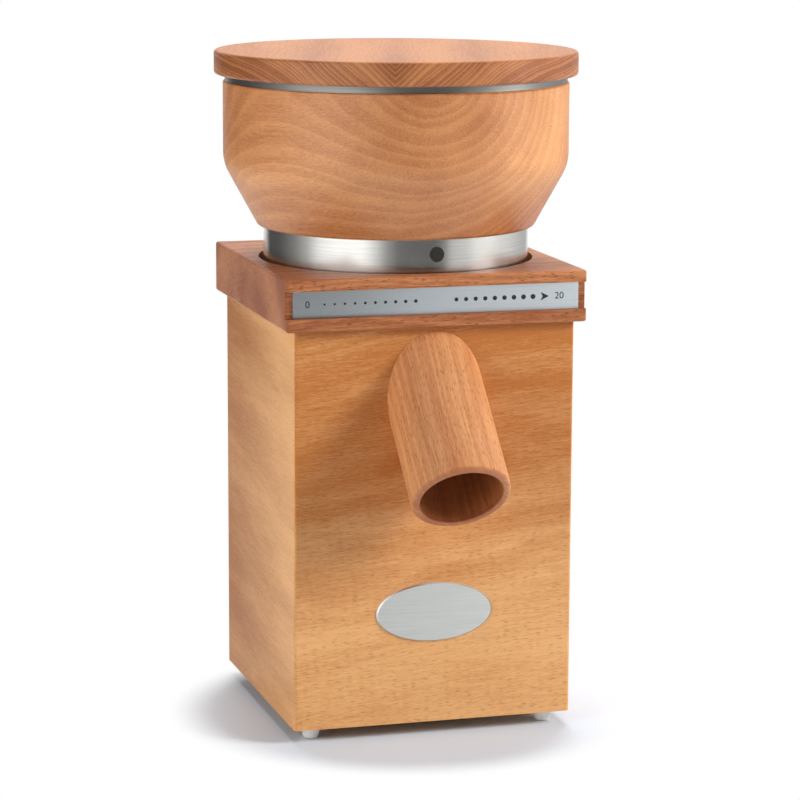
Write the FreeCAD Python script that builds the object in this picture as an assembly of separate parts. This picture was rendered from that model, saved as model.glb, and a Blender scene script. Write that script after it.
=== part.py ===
import FreeCAD, Part
import math
import os

from FreeCAD import Vector

# Electric grain mill. Millimetres, +Z up, the front faces -Y.
# Everything is modelled about the mill's own axis, which the stones, motor and hopper share,
# and is moved once, at the end, so that the origin lies under the middle of the whole mill.

# Housing
body_width = 137.0
body_height = 191.0
panel_thickness = 10.0
corner_rounding = 1.5
batten_width = 15.0
base_thickness = 8.0
base_clearance = 0.1
vent_count = 7
vent_width = 3.6
vent_length = 62.0
vent_spacing = 9.5

# Feet
foot_height = 6.5
foot_top_radius = 5.2
foot_rest_radius = 3.4
foot_rounding = 1.6
foot_inset = 10.5

# Cap and its scale
cap_width = 146.0
cap_height = 24.6
cap_rounding = 1.2
recess_radius = 66.6
recess_depth = 14.0
groove_from_below = 6.1
groove_height = 12.9
groove_depth = 3.4
scale_end_margin = 3.5
scale_thickness = 1.0
scale_clearance = 0.1

# Badge
badge_half_width = 28.6
badge_half_height = 14.4
badge_height_up = 53.75
badge_thickness = 0.8
badge_bevel = 0.7

# Spout and the duct behind it
spout_below_top = 33.9
spout_tilt = 43.0
spout_length = 58.2
spout_outer_radius = 23.4
spout_bore_radius = 19.5
spout_neck_step = 0.5
spout_rim_rounding = 2.0
spout_rim_chamfer = 0.6
duct_bore_radius = 15.5
duct_wall = 2.0
duct_clearance = 0.2

# Hopper bowl
bowl_radius = 83.5
bowl_foot_radius = 66.9
bowl_foot_rounding = 2.5
bowl_shoulder_above_cap = 45.7
bowl_shoulder_rounding = 22.0
bowl_rim_above_cap = 85.0
bowl_wall = 9.5
bowl_inner_rounding = 10.0
rim_band_setback = 0.9
rim_band_height = 3.35
rim_band_width = 6.6

# Lid
lid_radius = 87.7
lid_thickness = 11.35
lid_rounding = 1.5
plug_depth = 7.0
plug_clearance = 1.0

# Steel sleeve round the hopper's neck
sleeve_radius = 64.2
sleeve_thickness = 0.8
sleeve_above_cap = 15.5
sleeve_below_cap = 8.0
bond_gap = 0.05
dot_radius = 3.55
dot_thickness = 0.3
dot_above_cap = 8.5
dot_angle = 1.4

# Hopper base, which screws into the grinding chamber
seat_below_cap = 7.1
base_disc_radius = 61.0
base_disc_thickness = 3.0
throat_radius = 20.0
boss_radius = 40.0
boss_height = 12.0

# Adjusting thread
thread_lead = 6.0
thread_core_radius = 43.5
thread_height = 2.0
thread_root_width = 3.0
thread_crest_width = 1.6
thread_turns = 2
guide_pin_count = 3
thread_radial_clearance = 0.4
thread_side_clearance = 0.3
skirt_length = 18.5

# Stones
stone_radius = 38.0
stone_thickness = 12.0
stone_gap = 1.2
stone_eye_radius = 16.0
stone_land_radius = 30.0
stone_relief = 7.0
furrow_count = 12
furrow_width = 2.4
furrow_depth = 1.0
furrow_inner_radius = 25.0

# Grinding chamber
chamber_inner_radius = 46.5
chamber_wall = 4.5
chamber_floor = 4.6
thread_seat_wall = 2.0
flange_radius = 65.0
flange_thickness = 2.5
cap_hole_clearance = 0.3
outlet_below_thread = 2.0

# Sprung ring that takes the play out of the thread
ring_inner_radius = 55.0
ring_outer_radius = 62.6
ring_thickness = 1.9
ring_clearance = 0.1
spring_circle_radius = 59.0
spring_radius = 2.5
spring_wire_radius = 0.4
spring_turns = 6
spring_pocket_radius = 3.2
spring_pocket_depth = 6.0
guide_pin_radius = 1.4
guide_pin_gap = 2.2

# Shaft, driver and sweeper
shaft_radius = 4.0
shaft_fit = 0.03
press_gap = 0.01
driver_radius = 30.0
driver_thickness = 7.0
driver_hub_radius = 8.4
sweeper_clearance = 1.0
sweeper_thickness = 3.0
sweeper_height = 9.0
sweeper_count = 4
feed_cone_height = 14.0
feed_cone_tip_radius = 2.5

# Motor
motor_half_width = 34.5
motor_corner_radius = 8.0
shield_thickness = 12.0
lower_shield_thickness = 8.0
bolt_offset = 28.5
bolt_radius = 2.0
post_radius = 5.0
bush_radius = 9.0
fan_space = 22.0
fan_radius = 31.0
fan_hub_radius = 10.0
fan_height = 9.0
fan_disc_thickness = 1.5
fan_blade_count = 9
fan_blade_thickness = 1.6
stator_height = 56.0
stator_half_width = 36.0
stator_bore_radius = 21.0
coil_inner_radius = 22.5
coil_outer_radius = 29.5
coil_half_angle = 55.0
pole_half_angle = 42.0
coil_overhang = 8.0
coil_clearance = 0.25
armature_radius = 20.3
armature_overlap = 2.0
armature_slot_count = 12
armature_slot_radius = 1.8
winding_outer_radius = 16.5
winding_height = 7.0
commutator_radius = 13.0
commutator_height = 11.0
brush_space = 18.0
brush_side = 6.0
brush_length = 15.0
brush_wear_gap = 0.05
holder_wall = 1.2
holder_length = 17.0

# Back of the housing
switch_height_up = 113.5
switch_bezel_width = 22.0
switch_bezel_height = 31.0
switch_bezel_thickness = 2.0
switch_body_width = 18.0
switch_body_height = 26.0
switch_body_depth = 20.0
rocker_width = 13.0
rocker_length = 21.0
rocker_travel = 20.0
rocker_pivot_radius = 1.5
rocker_pivot_depth = 4.0
rocker_gap = 0.4
rocker_proud = 4.0
gland_clearance = 1.0
gland_height_up = 24.0
gland_bore_radius = 3.6
gland_body_radius = 6.5
gland_flange_radius = 9.5
gland_flange_thickness = 4.0
gland_tail = 7.0
gland_nut_thickness = 4.0
block_width = 30.0
block_depth = 14.0
block_height = 12.0
capacitor_thickness = 14.0
capacitor_length = 30.0
capacitor_height = 30.0
capacitor_height_up = 78.0
wire_radius = 1.1
wire_bend = 4.0

# Screws: shank radius, head radius, head height
small_screw = (1.5, 3.0, 1.8)
wood_screw = (1.9, 3.8, 2.3)
shield_screw = (2.0, 3.6, 3.0)
screw_clearance = 0.1
batten_bite = 16.0
cap_bite = 7.0
bowl_bite = 9.0
lid_bite = 6.0

# Heights worked out from the sizes above
body_bottom = foot_height
body_top = body_bottom + body_height
cap_top = body_top + cap_height
recess_floor = cap_top - recess_depth
front = -body_width / 2
inside = body_width / 2 - panel_thickness
floor_inside = body_bottom + base_thickness
flange_top = recess_floor + flange_thickness
hopper_seat = cap_top - seat_below_cap
disc_top = hopper_seat + base_disc_thickness
boss_bottom = hopper_seat - boss_height
grinding_plane = boss_bottom - stone_thickness
rim = cap_top + bowl_rim_above_cap
lid_seat = rim + rim_band_height
gland_x = gland_flange_radius + gland_clearance + batten_width - inside
neck_top = cap_top + sleeve_above_cap
rim_band_radius = bowl_radius - rim_band_setback
neck_radius = sleeve_radius - sleeve_thickness - bond_gap
chamber_outer_radius = chamber_inner_radius + chamber_wall
cap_hole_radius = chamber_outer_radius + cap_hole_clearance
thread_seat_radius = chamber_outer_radius - thread_seat_wall
skirt_bottom = hopper_seat - skirt_length
thread_seat = skirt_bottom - 0.5
lower_stone_top = grinding_plane - stone_gap
lower_stone_bottom = lower_stone_top - stone_thickness

# The spout's axis leaves the front face at spout_below_top and falls outward
tilt = math.radians(spout_tilt)
spout_out = Vector(0, -math.cos(tilt), -math.sin(tilt))
spout_up = Vector(0, -math.sin(tilt), math.cos(tilt))
spout_root = Vector(0, front, body_top - spout_below_top)
spout_neck_radius = spout_bore_radius - spout_neck_step
duct_radius = duct_bore_radius + duct_wall
duct_root = spout_root - spout_up * (spout_neck_radius - duct_bore_radius)
duct_root_height = duct_root.z + (front - duct_root.y) * math.tan(tilt)


def duct_line(radius, depth):
    """Height of the lowest line of a tube round the duct's axis, this far behind the front."""
    return duct_root_height + depth * math.tan(tilt) - radius / math.cos(tilt)


# The chamber's floor is flush with the duct's lowest line where the duct meets the chamber
chamber_floor_top = duct_line(duct_bore_radius, -front - chamber_inner_radius)
chamber_bottom = chamber_floor_top - chamber_floor
shield_bottom = chamber_bottom - shield_thickness
stator_top = shield_bottom - fan_space
stator_bottom = stator_top - stator_height
lower_shield_top = stator_bottom - brush_space
lower_shield_bottom = lower_shield_top - lower_shield_thickness

# The origin lies midway between the spout's mouth and the back of the lid
spout_reach = (
    body_width / 2
    + spout_length * math.cos(tilt)
    + spout_outer_radius * math.sin(tilt)
    - spout_rim_rounding * (math.cos(tilt) + math.sin(tilt) - 1)
)
axis_y = (spout_reach - lid_radius) / 2


def block(x0, x1, y0, y1, z0, z1):
    """A box between two opposite corners."""
    return Part.makeBox(x1 - x0, y1 - y0, z1 - z0, Vector(x0, y0, z0))


def cylinder(radius, z0, z1, x=0.0, y=0.0):
    """An upright cylinder."""
    return Part.makeCylinder(radius, z1 - z0, Vector(x, y, z0))


def ring(outer, inner, z0, z1):
    """An upright tube."""
    return cylinder(outer, z0, z1).cut(cylinder(inner, z0, z1))


def outline(corners):
    """A closed wire in the XZ plane through (x, z) or (x, z, rounding) corners."""
    points = [Vector(c[0], 0, c[1]) for c in corners]
    roundings = [c[2] if len(c) > 2 else 0.0 for c in corners]
    starts, arcs, ends = [], [], []
    for i, corner in enumerate(points):
        to_last = (points[i - 1] - corner).normalize()
        to_next = (points[(i + 1) % len(points)] - corner).normalize()
        half = to_last.getAngle(to_next) / 2
        reach = roundings[i] / math.tan(half)
        starts.append(corner + to_last * reach)
        ends.append(corner + to_next * reach)
        if roundings[i] > 0:
            inward = (to_last + to_next).normalize()
            top = corner + inward * (roundings[i] / math.sin(half) - roundings[i])
            arcs.append(Part.Arc(starts[i], top, ends[i]).toShape())
        else:
            arcs.append(None)
    edges = []
    for i in range(len(points)):
        if arcs[i]:
            edges.append(arcs[i])
        following = starts[(i + 1) % len(points)]
        if ends[i].distanceToPoint(following) > 1e-6:
            edges.append(Part.makeLine(ends[i], following))
    return Part.Wire(edges)


def turned(corners):
    """A solid of revolution about Z from (radius, z) or (radius, z, rounding) corners."""
    return Part.Face(outline(corners)).revolve(Vector(0, 0, 0), Vector(0, 0, 1), 360)


def aimed(shape, position, direction):
    """The shape with its own +Z turned to a direction and its origin moved to a position."""
    shape.Placement = FreeCAD.Placement(position, FreeCAD.Rotation(Vector(0, 0, 1), direction))
    return shape


def rearward(shape, position):
    """The shape turned to point out of the back of the housing."""
    return aimed(shape, position, Vector(0, 1, 0))


def rounded_square(half_width, rounding, z0, z1):
    """A square prism with rounded upright edges."""
    solid = block(-half_width, half_width, -half_width, half_width, z0, z1)
    upright = [e for e in solid.Edges if abs(e.tangentAt(e.FirstParameter).z) > 0.9]
    return solid.makeFillet(rounding, upright)


def sector(inner, outer, half_angle, z0, z1, middle):
    """Part of an upright tube, this far in degrees to each side of a middle direction."""
    wedge = Part.makeCylinder(outer, z1 - z0, Vector(0, 0, z0), Vector(0, 0, 1), 2 * half_angle)
    wedge.rotate(Vector(0, 0, 0), Vector(0, 0, 1), middle - half_angle)
    return wedge.cut(cylinder(inner, z0 - 1, z1 + 1))


def around(count, radius, start=0.0):
    """Points evenly spaced on a circle, as (angle in degrees, x, y)."""
    for i in range(count):
        angle = start + 360.0 * i / count
        yield angle, radius * math.cos(math.radians(angle)), radius * math.sin(math.radians(angle))


def at_corners(offset):
    """The four points at the same distance from both middle planes."""
    return [(x, y) for x in (-offset, offset) for y in (-offset, offset)]


def flat_screw(size, length, extra=0.0):
    """A countersunk screw whose head is flush with z = 0 and whose shank points down."""
    shank, head, height = size
    cone = Part.makeCone(shank + extra, head + extra, height, Vector(0, 0, -height))
    return cone.fuse(cylinder(shank + extra, -length - extra, -height))


def pan_screw(size, length, extra=0.0):
    """A screw with a flat-topped head standing on z = 0 and its shank pointing down."""
    shank, head, height = size
    return cylinder(head + extra, 0, height).fuse(cylinder(shank + extra, -length - extra, 0))


def with_screws(make, size, length, places, direction):
    """The screws at these places, and the slightly wider holes that they need."""
    screws = [aimed(make(size, length), place, direction) for place in places]
    holes = [aimed(make(size, length, screw_clearance), place, direction) for place in places]
    return Part.makeCompound(screws), holes


def half_space_behind_front():
    """Everything behind the housing's front face, for cutting the spout to it."""
    big = 4 * body_width
    return block(-big, big, front, big, -big, big + cap_top)


def duct_rod(radius, z_limit):
    """A rod along the duct, from the front face to the middle of the mill, below a height."""
    rod = aimed(cylinder(radius, -2 * body_width, body_width), duct_root, spout_out)
    room = block(-body_width, body_width, front, 0, 0, z_limit)
    return rod.common(room)


# Housing


def panel(quarter):
    """One mitred side of the housing; quarter 0 is the front, and the rest follow anticlockwise."""
    outer = rounded_square(body_width / 2, corner_rounding, body_bottom, body_top)
    inner = block(-inside, inside, -inside, inside, body_bottom, body_top)
    far = body_width
    corners = [Vector(0, 0, 0), Vector(-far, -far, 0), Vector(far, -far, 0), Vector(0, 0, 0)]
    slice_ = Part.Face(Part.makePolygon(corners)).extrude(Vector(0, 0, 2 * body_height))
    slice_.rotate(Vector(0, 0, 0), Vector(0, 0, 1), 90 * quarter)
    return outer.cut(inner).common(slice_)


def front_panel():
    return panel(0).cut(duct_rod(duct_radius + duct_clearance, body_top))


def back_panel():
    side = panel(2)
    z = body_bottom + switch_height_up
    half_width = switch_body_width / 2
    half_height = switch_body_height / 2
    window = block(-half_width, half_width, inside - 1, -front + 1, z - half_height, z + half_height)
    hole = rearward(cylinder(gland_body_radius, 0, 2 * panel_thickness), gland_place(inside - 1))
    return side.cut(window).cut(hole)


def corner_battens(holes):
    battens = []
    for x, y in at_corners(inside - batten_width / 2):
        half = batten_width / 2
        battens.append(block(x - half, x + half, y - half, y + half, floor_inside, body_top).cut(holes))
    return Part.makeCompound(battens)


def base_plate(holes):
    half = inside - base_clearance
    plate = block(-half, half, -half, half, body_bottom, floor_inside)
    slots = []
    for i in range(vent_count):
        x = (i - (vent_count - 1) / 2) * vent_spacing
        straight = (vent_length - vent_width) / 2
        slot = block(x - vent_width / 2, x + vent_width / 2, -straight, straight, 0, floor_inside + 1)
        for end in (-straight, straight):
            slot = slot.fuse(cylinder(vent_width / 2, 0, floor_inside + 1, x, end))
        slots.append(slot)
    return plate.cut(slots + holes)


def feet():
    foot = turned(
        [
            (0, 0),
            (foot_rest_radius, 0, foot_rounding),
            (foot_top_radius, foot_height),
            (0, foot_height),
        ]
    )
    return Part.makeCompound([foot.translated(Vector(x, y, 0)) for x, y in at_corners(-front - foot_inset)])


# Cap


def cap_board(holes):
    half = cap_width / 2
    board = block(-half, half, -half, half, body_top, cap_top)
    board = board.makeFillet(cap_rounding, board.Edges)
    recess = cylinder(recess_radius, recess_floor, cap_top + 1)
    through = cylinder(cap_hole_radius, body_top - 1, cap_top)
    low = body_top + groove_from_below
    groove = block(-half - 1, half + 1, -half - 1, -half + groove_depth, low, low + groove_height)
    pockets = [
        cylinder(spring_pocket_radius, recess_floor - spring_pocket_depth, cap_top, x, y)
        for _, x, y in around(4, spring_circle_radius, 45)
    ]
    return board.cut([recess, through, groove] + pockets + holes)


def scale_plate():
    half = cap_width / 2 - scale_end_margin
    low = body_top + groove_from_below + scale_clearance
    high = low + groove_height - 2 * scale_clearance
    floor = -cap_width / 2 + groove_depth
    return block(-half, half, floor - scale_thickness, floor, low, high)


def front_badge():
    z = body_bottom + badge_height_up
    rings = []
    for forward, shrink in ((0.0, 0.0), (badge_thickness, badge_bevel)):
        curve = Part.Ellipse(
            Vector(badge_half_width - shrink, front - forward, z),
            Vector(0, front - forward, z + badge_half_height - shrink),
            Vector(0, front - forward, z),
        )
        rings.append(Part.Wire(curve.toShape()))
    return Part.makeLoft(rings, True)


# Spout and duct


def spout_tube():
    step = spout_bore_radius * math.tan(tilt) + 1.0
    tube = turned(
        [
            (spout_neck_radius, -spout_length),
            (spout_outer_radius, -spout_length),
            (spout_outer_radius, spout_length, spout_rim_rounding),
            (spout_bore_radius + spout_rim_chamfer, spout_length),
            (spout_bore_radius, spout_length - spout_rim_chamfer),
            (spout_bore_radius, step),
            (spout_neck_radius, step),
        ]
    )
    return aimed(tube, spout_root, spout_out).cut(half_space_behind_front())


def outlet_duct():
    tube = duct_rod(duct_radius, body_top).cut(duct_rod(duct_bore_radius, body_top + 1))
    return tube.cut(cylinder(chamber_outer_radius, 0, cap_top))


# Grinding chamber


def grinding_chamber(holes):
    cup = turned(
        [
            (shaft_radius + sweeper_clearance, chamber_bottom),
            (chamber_outer_radius, chamber_bottom),
            (chamber_outer_radius, recess_floor),
            (flange_radius, recess_floor),
            (flange_radius, flange_top),
            (thread_seat_radius, flange_top),
            (thread_seat_radius, thread_seat),
            (chamber_inner_radius, thread_seat),
            (chamber_inner_radius, chamber_floor_top),
            (shaft_radius + sweeper_clearance, chamber_floor_top),
        ]
    )
    pockets = [
        cylinder(spring_pocket_radius, chamber_bottom, cap_top, x, y)
        for _, x, y in around(4, spring_circle_radius, 45)
    ]
    outlet = duct_rod(duct_bore_radius, thread_seat - outlet_below_thread)
    return cup.cut([outlet] + pockets + holes)


def thread_ridge(root_radius, height, root_width, crest_width, start, turns):
    """A right-hand helical ridge of trapezoid section, standing out from its root radius."""
    spine = Part.makeHelix(thread_lead, turns * thread_lead, root_radius)
    half_root = root_width / 2
    half_crest = crest_width / 2
    section = Part.makePolygon(
        [
            Vector(root_radius, 0, -half_root),
            Vector(root_radius + height, 0, -half_crest),
            Vector(root_radius + height, 0, half_crest),
            Vector(root_radius, 0, half_root),
            Vector(root_radius, 0, -half_root),
        ]
    )
    ridge = Part.Wire(spine.Edges).makePipeShell([section], True, True)
    return ridge.translated(Vector(0, 0, start))


def thread_sink():
    """How far a ridge's root is sunk into its core, so that the two join as one solid."""
    return thread_height / 4


def hopper_thread():
    core = ring(thread_core_radius, boss_radius + bond_gap, skirt_bottom, hopper_seat)
    sink = thread_sink()
    flare = (thread_root_width - thread_crest_width) / thread_height * sink
    ridge = thread_ridge(
        thread_core_radius - sink,
        thread_height + sink,
        thread_root_width + flare,
        thread_crest_width,
        thread_start(),
        thread_turns,
    )
    return core.fuse(ridge)


def thread_start():
    """Height of the hopper ridge's middle where it begins."""
    return skirt_bottom + thread_root_width / 2 + 0.5


def guide_collar():
    """The collar in the chamber; its pins run in the groove between the turns of the hopper's thread."""
    clear_radius = thread_core_radius + thread_radial_clearance
    bore = clear_radius + thread_height
    pin_radius = (thread_lead - thread_root_width) / 2 - thread_side_clearance
    collar = ring(thread_seat_radius - press_gap, bore, thread_seat, recess_floor)
    for angle, x, y in around(guide_pin_count, clear_radius):
        z = thread_start() + thread_lead * (0.5 + angle / 360.0)
        pin = aimed(cylinder(pin_radius, 0, thread_height + 1), Vector(x, y, z), Vector(x, y, 0))
        collar = collar.fuse(pin)
    return collar


# Sprung ring


def float_ring():
    top = hopper_seat - ring_clearance
    solid = ring(ring_outer_radius, ring_inner_radius, top - ring_thickness, top)
    for _, x, y in around(4, spring_circle_radius, 45):
        low = recess_floor - spring_pocket_depth + guide_pin_gap
        solid = solid.fuse(cylinder(guide_pin_radius, low, top - ring_thickness, x, y))
    return solid


def ring_springs():
    low = recess_floor - spring_pocket_depth + spring_wire_radius
    high = hopper_seat - ring_clearance - ring_thickness - spring_wire_radius
    spine = Part.makeHelix((high - low) / spring_turns, high - low, spring_radius)
    start = spine.Edges[0].Curve.value(spine.Edges[0].FirstParameter)
    section = Part.Wire(Part.makeCircle(spring_wire_radius, start, Vector(0, 1, 0)))
    coil = Part.Wire(spine.Edges).makePipeShell([section], True, True)
    return Part.makeCompound(
        [coil.translated(Vector(x, y, low)) for _, x, y in around(4, spring_circle_radius, 45)]
    )


# Hopper


def hopper_bowl(holes):
    inner = bowl_radius - bowl_wall
    funnel_height = inner - throat_radius - base_disc_thickness
    mouth = throat_radius + base_disc_thickness
    bowl = turned(
        [
            (neck_radius, disc_top),
            (neck_radius, neck_top),
            (bowl_foot_radius, neck_top, bowl_foot_rounding),
            (bowl_radius, cap_top + bowl_shoulder_above_cap, bowl_shoulder_rounding),
            (bowl_radius, rim, 1.0),
            (inner, rim, 1.0),
            (inner, disc_top + funnel_height, bowl_inner_rounding),
            (mouth, disc_top),
        ]
    )
    return bowl.cut(holes)


def rim_band():
    return ring(rim_band_radius, rim_band_radius - rim_band_width, rim, lid_seat)


def hopper_sleeve():
    return ring(sleeve_radius, sleeve_radius - sleeve_thickness, cap_top - sleeve_below_cap, neck_top)


def index_dot():
    z = cap_top + dot_above_cap
    rod = aimed(cylinder(dot_radius, 0, body_width), Vector(0, 0, z), Vector(0, -1, 0))
    skin = ring(sleeve_radius + dot_thickness, sleeve_radius, z - 2 * dot_radius, z + 2 * dot_radius)
    dot = rod.common(skin)
    dot.rotate(Vector(0, 0, 0), Vector(0, 0, 1), dot_angle)
    return dot


def hopper_base(holes):
    base = turned(
        [
            (throat_radius, boss_bottom),
            (boss_radius, boss_bottom),
            (boss_radius, hopper_seat),
            (base_disc_radius, hopper_seat),
            (base_disc_radius, disc_top),
            (throat_radius + base_disc_thickness, disc_top),
            (throat_radius, hopper_seat),
        ]
    )
    return base.cut(holes)


# Stones


def furrows(face, depth):
    """Straight grooves that cross a stone's grinding land at a slant."""
    cuts = []
    for angle, _, _ in around(furrow_count, 1.0):
        low, high = sorted((face, face + depth))
        groove = block(furrow_inner_radius, stone_radius + 5, -furrow_width / 2, furrow_width / 2, low, high)
        groove.rotate(Vector(furrow_inner_radius, 0, 0), Vector(0, 0, 1), 18)
        groove.rotate(Vector(0, 0, 0), Vector(0, 0, 1), angle)
        cuts.append(groove)
    return cuts


def upper_stone(holes):
    stone = turned(
        [
            (stone_eye_radius, grinding_plane + stone_relief),
            (stone_land_radius, grinding_plane),
            (stone_radius, grinding_plane),
            (stone_radius, boss_bottom),
            (stone_eye_radius, boss_bottom),
        ]
    )
    return stone.cut(furrows(grinding_plane, furrow_depth) + holes)


def lower_stone():
    hole = driver_hub_radius + press_gap
    stone = turned(
        [
            (hole, lower_stone_bottom),
            (stone_radius, lower_stone_bottom),
            (stone_radius, lower_stone_top),
            (hole, lower_stone_top),
        ]
    )
    return stone.cut(furrows(lower_stone_top, -furrow_depth))


# Turning parts


def stone_driver():
    low = chamber_floor_top + sweeper_clearance
    solid = turned(
        [
            (shaft_radius + press_gap, low),
            (driver_hub_radius, low),
            (driver_hub_radius, lower_stone_bottom - driver_thickness),
            (driver_radius, lower_stone_bottom - driver_thickness),
            (driver_radius, lower_stone_bottom),
            (driver_hub_radius, lower_stone_bottom),
            (driver_hub_radius, lower_stone_top),
            (shaft_radius + press_gap, lower_stone_top),
        ]
    )
    reach = chamber_inner_radius - sweeper_clearance
    for angle, _, _ in around(sweeper_count, 1.0):
        half = sweeper_thickness / 2
        arm = block(driver_hub_radius - half, reach, -half, half, low, low + sweeper_height)
        arm.rotate(Vector(0, 0, 0), Vector(0, 0, 1), angle)
        solid = solid.fuse(arm)
    return solid


def feed_cone():
    hole_top = lower_stone_top + feed_cone_height / 2
    return turned(
        [
            (shaft_radius + press_gap, lower_stone_top),
            (driver_hub_radius, lower_stone_top),
            (feed_cone_tip_radius, lower_stone_top + feed_cone_height, 2.0),
            (0, lower_stone_top + feed_cone_height),
            (0, hole_top),
            (shaft_radius + press_gap, hole_top),
        ]
    )


def rotor_shaft():
    return cylinder(shaft_radius, lower_shield_bottom, lower_stone_top + feed_cone_height / 2)


def armature_core():
    low = stator_bottom + armature_overlap
    high = stator_top - armature_overlap
    core = ring(armature_radius, shaft_radius + press_gap, low, high)
    slots = [
        cylinder(armature_slot_radius, low, high, x, y)
        for _, x, y in around(armature_slot_count, armature_radius - armature_slot_radius / 2)
    ]
    return core.cut(slots)


def armature_winding():
    ends = []
    inner = shaft_radius + press_gap
    for face, way in ((stator_top - armature_overlap, 1), (stator_bottom + armature_overlap, -1)):
        far = face + way * winding_height
        outer = winding_outer_radius
        ends.append(turned([(inner, face), (outer, face), (outer, far, 3.0), (inner, far)]))
    return Part.makeCompound(ends)


def commutator():
    high = stator_bottom + armature_overlap - winding_height
    return ring(commutator_radius, shaft_radius + press_gap, high - commutator_height, high)


def cooling_fan():
    low = stator_top + coil_overhang + 2 * sweeper_clearance
    fan = ring(fan_hub_radius, shaft_radius + press_gap, low, low + fan_height)
    fan = fan.fuse(ring(fan_radius, fan_hub_radius - 1, low, low + fan_disc_thickness))
    for angle, _, _ in around(fan_blade_count, 1.0):
        half = fan_blade_thickness / 2
        blade = block(fan_hub_radius - half, fan_radius, -half, half, low, low + fan_height)
        blade.rotate(Vector(fan_hub_radius, 0, 0), Vector(0, 0, 1), 12)
        blade.rotate(Vector(0, 0, 0), Vector(0, 0, 1), angle)
        fan = fan.fuse(blade)
    return fan.common(cylinder(fan_radius, low, low + fan_height))


# Motor frame


def upper_end_shield(holes):
    shield = rounded_square(motor_half_width, motor_corner_radius, shield_bottom, chamber_bottom)
    for x, y in at_corners(bolt_offset):
        shield = shield.fuse(cylinder(post_radius, stator_top, shield_bottom, x, y))
    return shield.cut([cylinder(bush_radius + press_gap, shield_bottom, chamber_bottom)] + holes)


def lower_end_shield(holes):
    half = motor_half_width
    shield = rounded_square(half, motor_corner_radius, lower_shield_bottom, lower_shield_top)
    window = (half - bush_radius - 3) / 2
    middle = bush_radius + 3 + window / 2
    for x, y in at_corners(middle - 1):
        side = window / 2 - 1
        low = lower_shield_bottom - 1
        shield = shield.cut(block(x - side, x + side, y - side, y + side, low, lower_shield_top + 1))
    for x, y in at_corners(bolt_offset):
        shield = shield.fuse(cylinder(post_radius, lower_shield_top, stator_bottom, x, y))
    bush_hole = cylinder(bush_radius + press_gap, lower_shield_bottom, lower_shield_top)
    return shield.cut([bush_hole] + holes)


def shaft_bush(z0, z1):
    return ring(bush_radius, shaft_radius + shaft_fit, z0, z1)


def stator_core(holes):
    core = rounded_square(stator_half_width, motor_corner_radius, stator_bottom, stator_top)
    core = core.cut(cylinder(stator_bore_radius, stator_bottom - 1, stator_top + 1))
    for middle in (90, 270):
        inner = stator_bore_radius - 2
        outer = coil_outer_radius + coil_clearance
        wide = sector(inner, outer, coil_half_angle + 1, stator_bottom, stator_top, middle)
        pole = sector(inner - 1, outer + 1, pole_half_angle - 1, stator_bottom, stator_top, middle)
        core = core.cut(wide.cut(pole))
    return core.cut(holes)


def field_coils():
    coils = []
    for middle in (90, 270):
        low = stator_bottom - coil_overhang
        high = stator_top + coil_overhang
        solid = sector(coil_inner_radius, coil_outer_radius, coil_half_angle, low, high, middle)
        window = sector(
            coil_inner_radius - 2, coil_outer_radius + 2, pole_half_angle, stator_bottom, stator_top, middle
        )
        coils.append(solid.cut(window))
    return Part.makeCompound(coils)


def brush_holders():
    holders = []
    side = brush_side / 2
    outer = side + holder_wall
    z = brush_height()
    for way in (-1, 1):
        start = commutator_radius + 2.0
        x0, x1 = sorted((way * start, way * (start + holder_length)))
        tube = block(x0, x1, -outer, outer, lower_shield_top, z + outer)
        well0, well1 = sorted((way * (start - 1), way * (start + holder_length - holder_wall)))
        room = side + brush_wear_gap
        holders.append(tube.cut(block(well0, well1, -room, room, z - room, z + room)))
    return Part.makeCompound(holders)


def brush_height():
    """Height of the brushes' middle, at the commutator's middle."""
    return stator_bottom + armature_overlap - winding_height - commutator_height / 2


def carbon_brushes():
    brushes = []
    side = brush_side / 2
    z = brush_height()
    for way in (-1, 1):
        x0, x1 = sorted((0, way * (commutator_radius + brush_length)))
        brush = block(x0, x1, -side, side, z - side, z + side)
        brushes.append(brush.cut(cylinder(commutator_radius + brush_wear_gap, z - side, z + side)))
    return Part.makeCompound(brushes)


# Back fittings


def gland_place(y):
    """A point on the cable gland's axis."""
    return Vector(gland_x, y, body_bottom + gland_height_up)


def cable_gland():
    back = -front
    start = inside - gland_tail
    body = rearward(cylinder(gland_body_radius - press_gap, 0, back - start), gland_place(start))
    flange = rearward(cylinder(gland_flange_radius, 0, gland_flange_thickness), gland_place(back))
    collar = rearward(cylinder(gland_body_radius, 0, 2 * gland_flange_thickness), gland_place(back))
    bore = rearward(cylinder(gland_bore_radius, 0, body_width), gland_place(start - 1))
    return body.fuse([flange, collar]).cut(bore)


def gland_nut():
    corners = [Vector(x, y, 0) for _, x, y in around(6, gland_flange_radius)]
    nut = Part.Face(Part.makePolygon(corners + corners[:1])).extrude(Vector(0, 0, gland_nut_thickness))
    nut = nut.cut(cylinder(gland_body_radius, -1, gland_nut_thickness + 1))
    return rearward(nut, gland_place(inside - gland_nut_thickness))


def rocker_pivot():
    """A point on the rocker's pivot axis, behind the bezel's face."""
    return Vector(0, -front + switch_bezel_thickness - rocker_pivot_depth, body_bottom + switch_height_up)


def rocker_profile(grow):
    """Side view of the rocker: a flat wedge about its pivot, wider by grow on every side."""
    face = rocker_pivot_depth + rocker_proud
    half = rocker_length / 2 + grow
    slope = math.tan(math.radians(rocker_travel / 2))
    return [
        (-half, rocker_pivot_depth + rocker_proud / 4 - half * slope + grow),
        (0, face - rocker_proud / 2 + grow),
        (half, rocker_pivot_depth + rocker_proud / 4 - half * slope + grow),
        (half, -rocker_pivot_depth / 2 - grow),
        (-half, -rocker_pivot_depth / 2 - grow),
    ]


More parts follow.
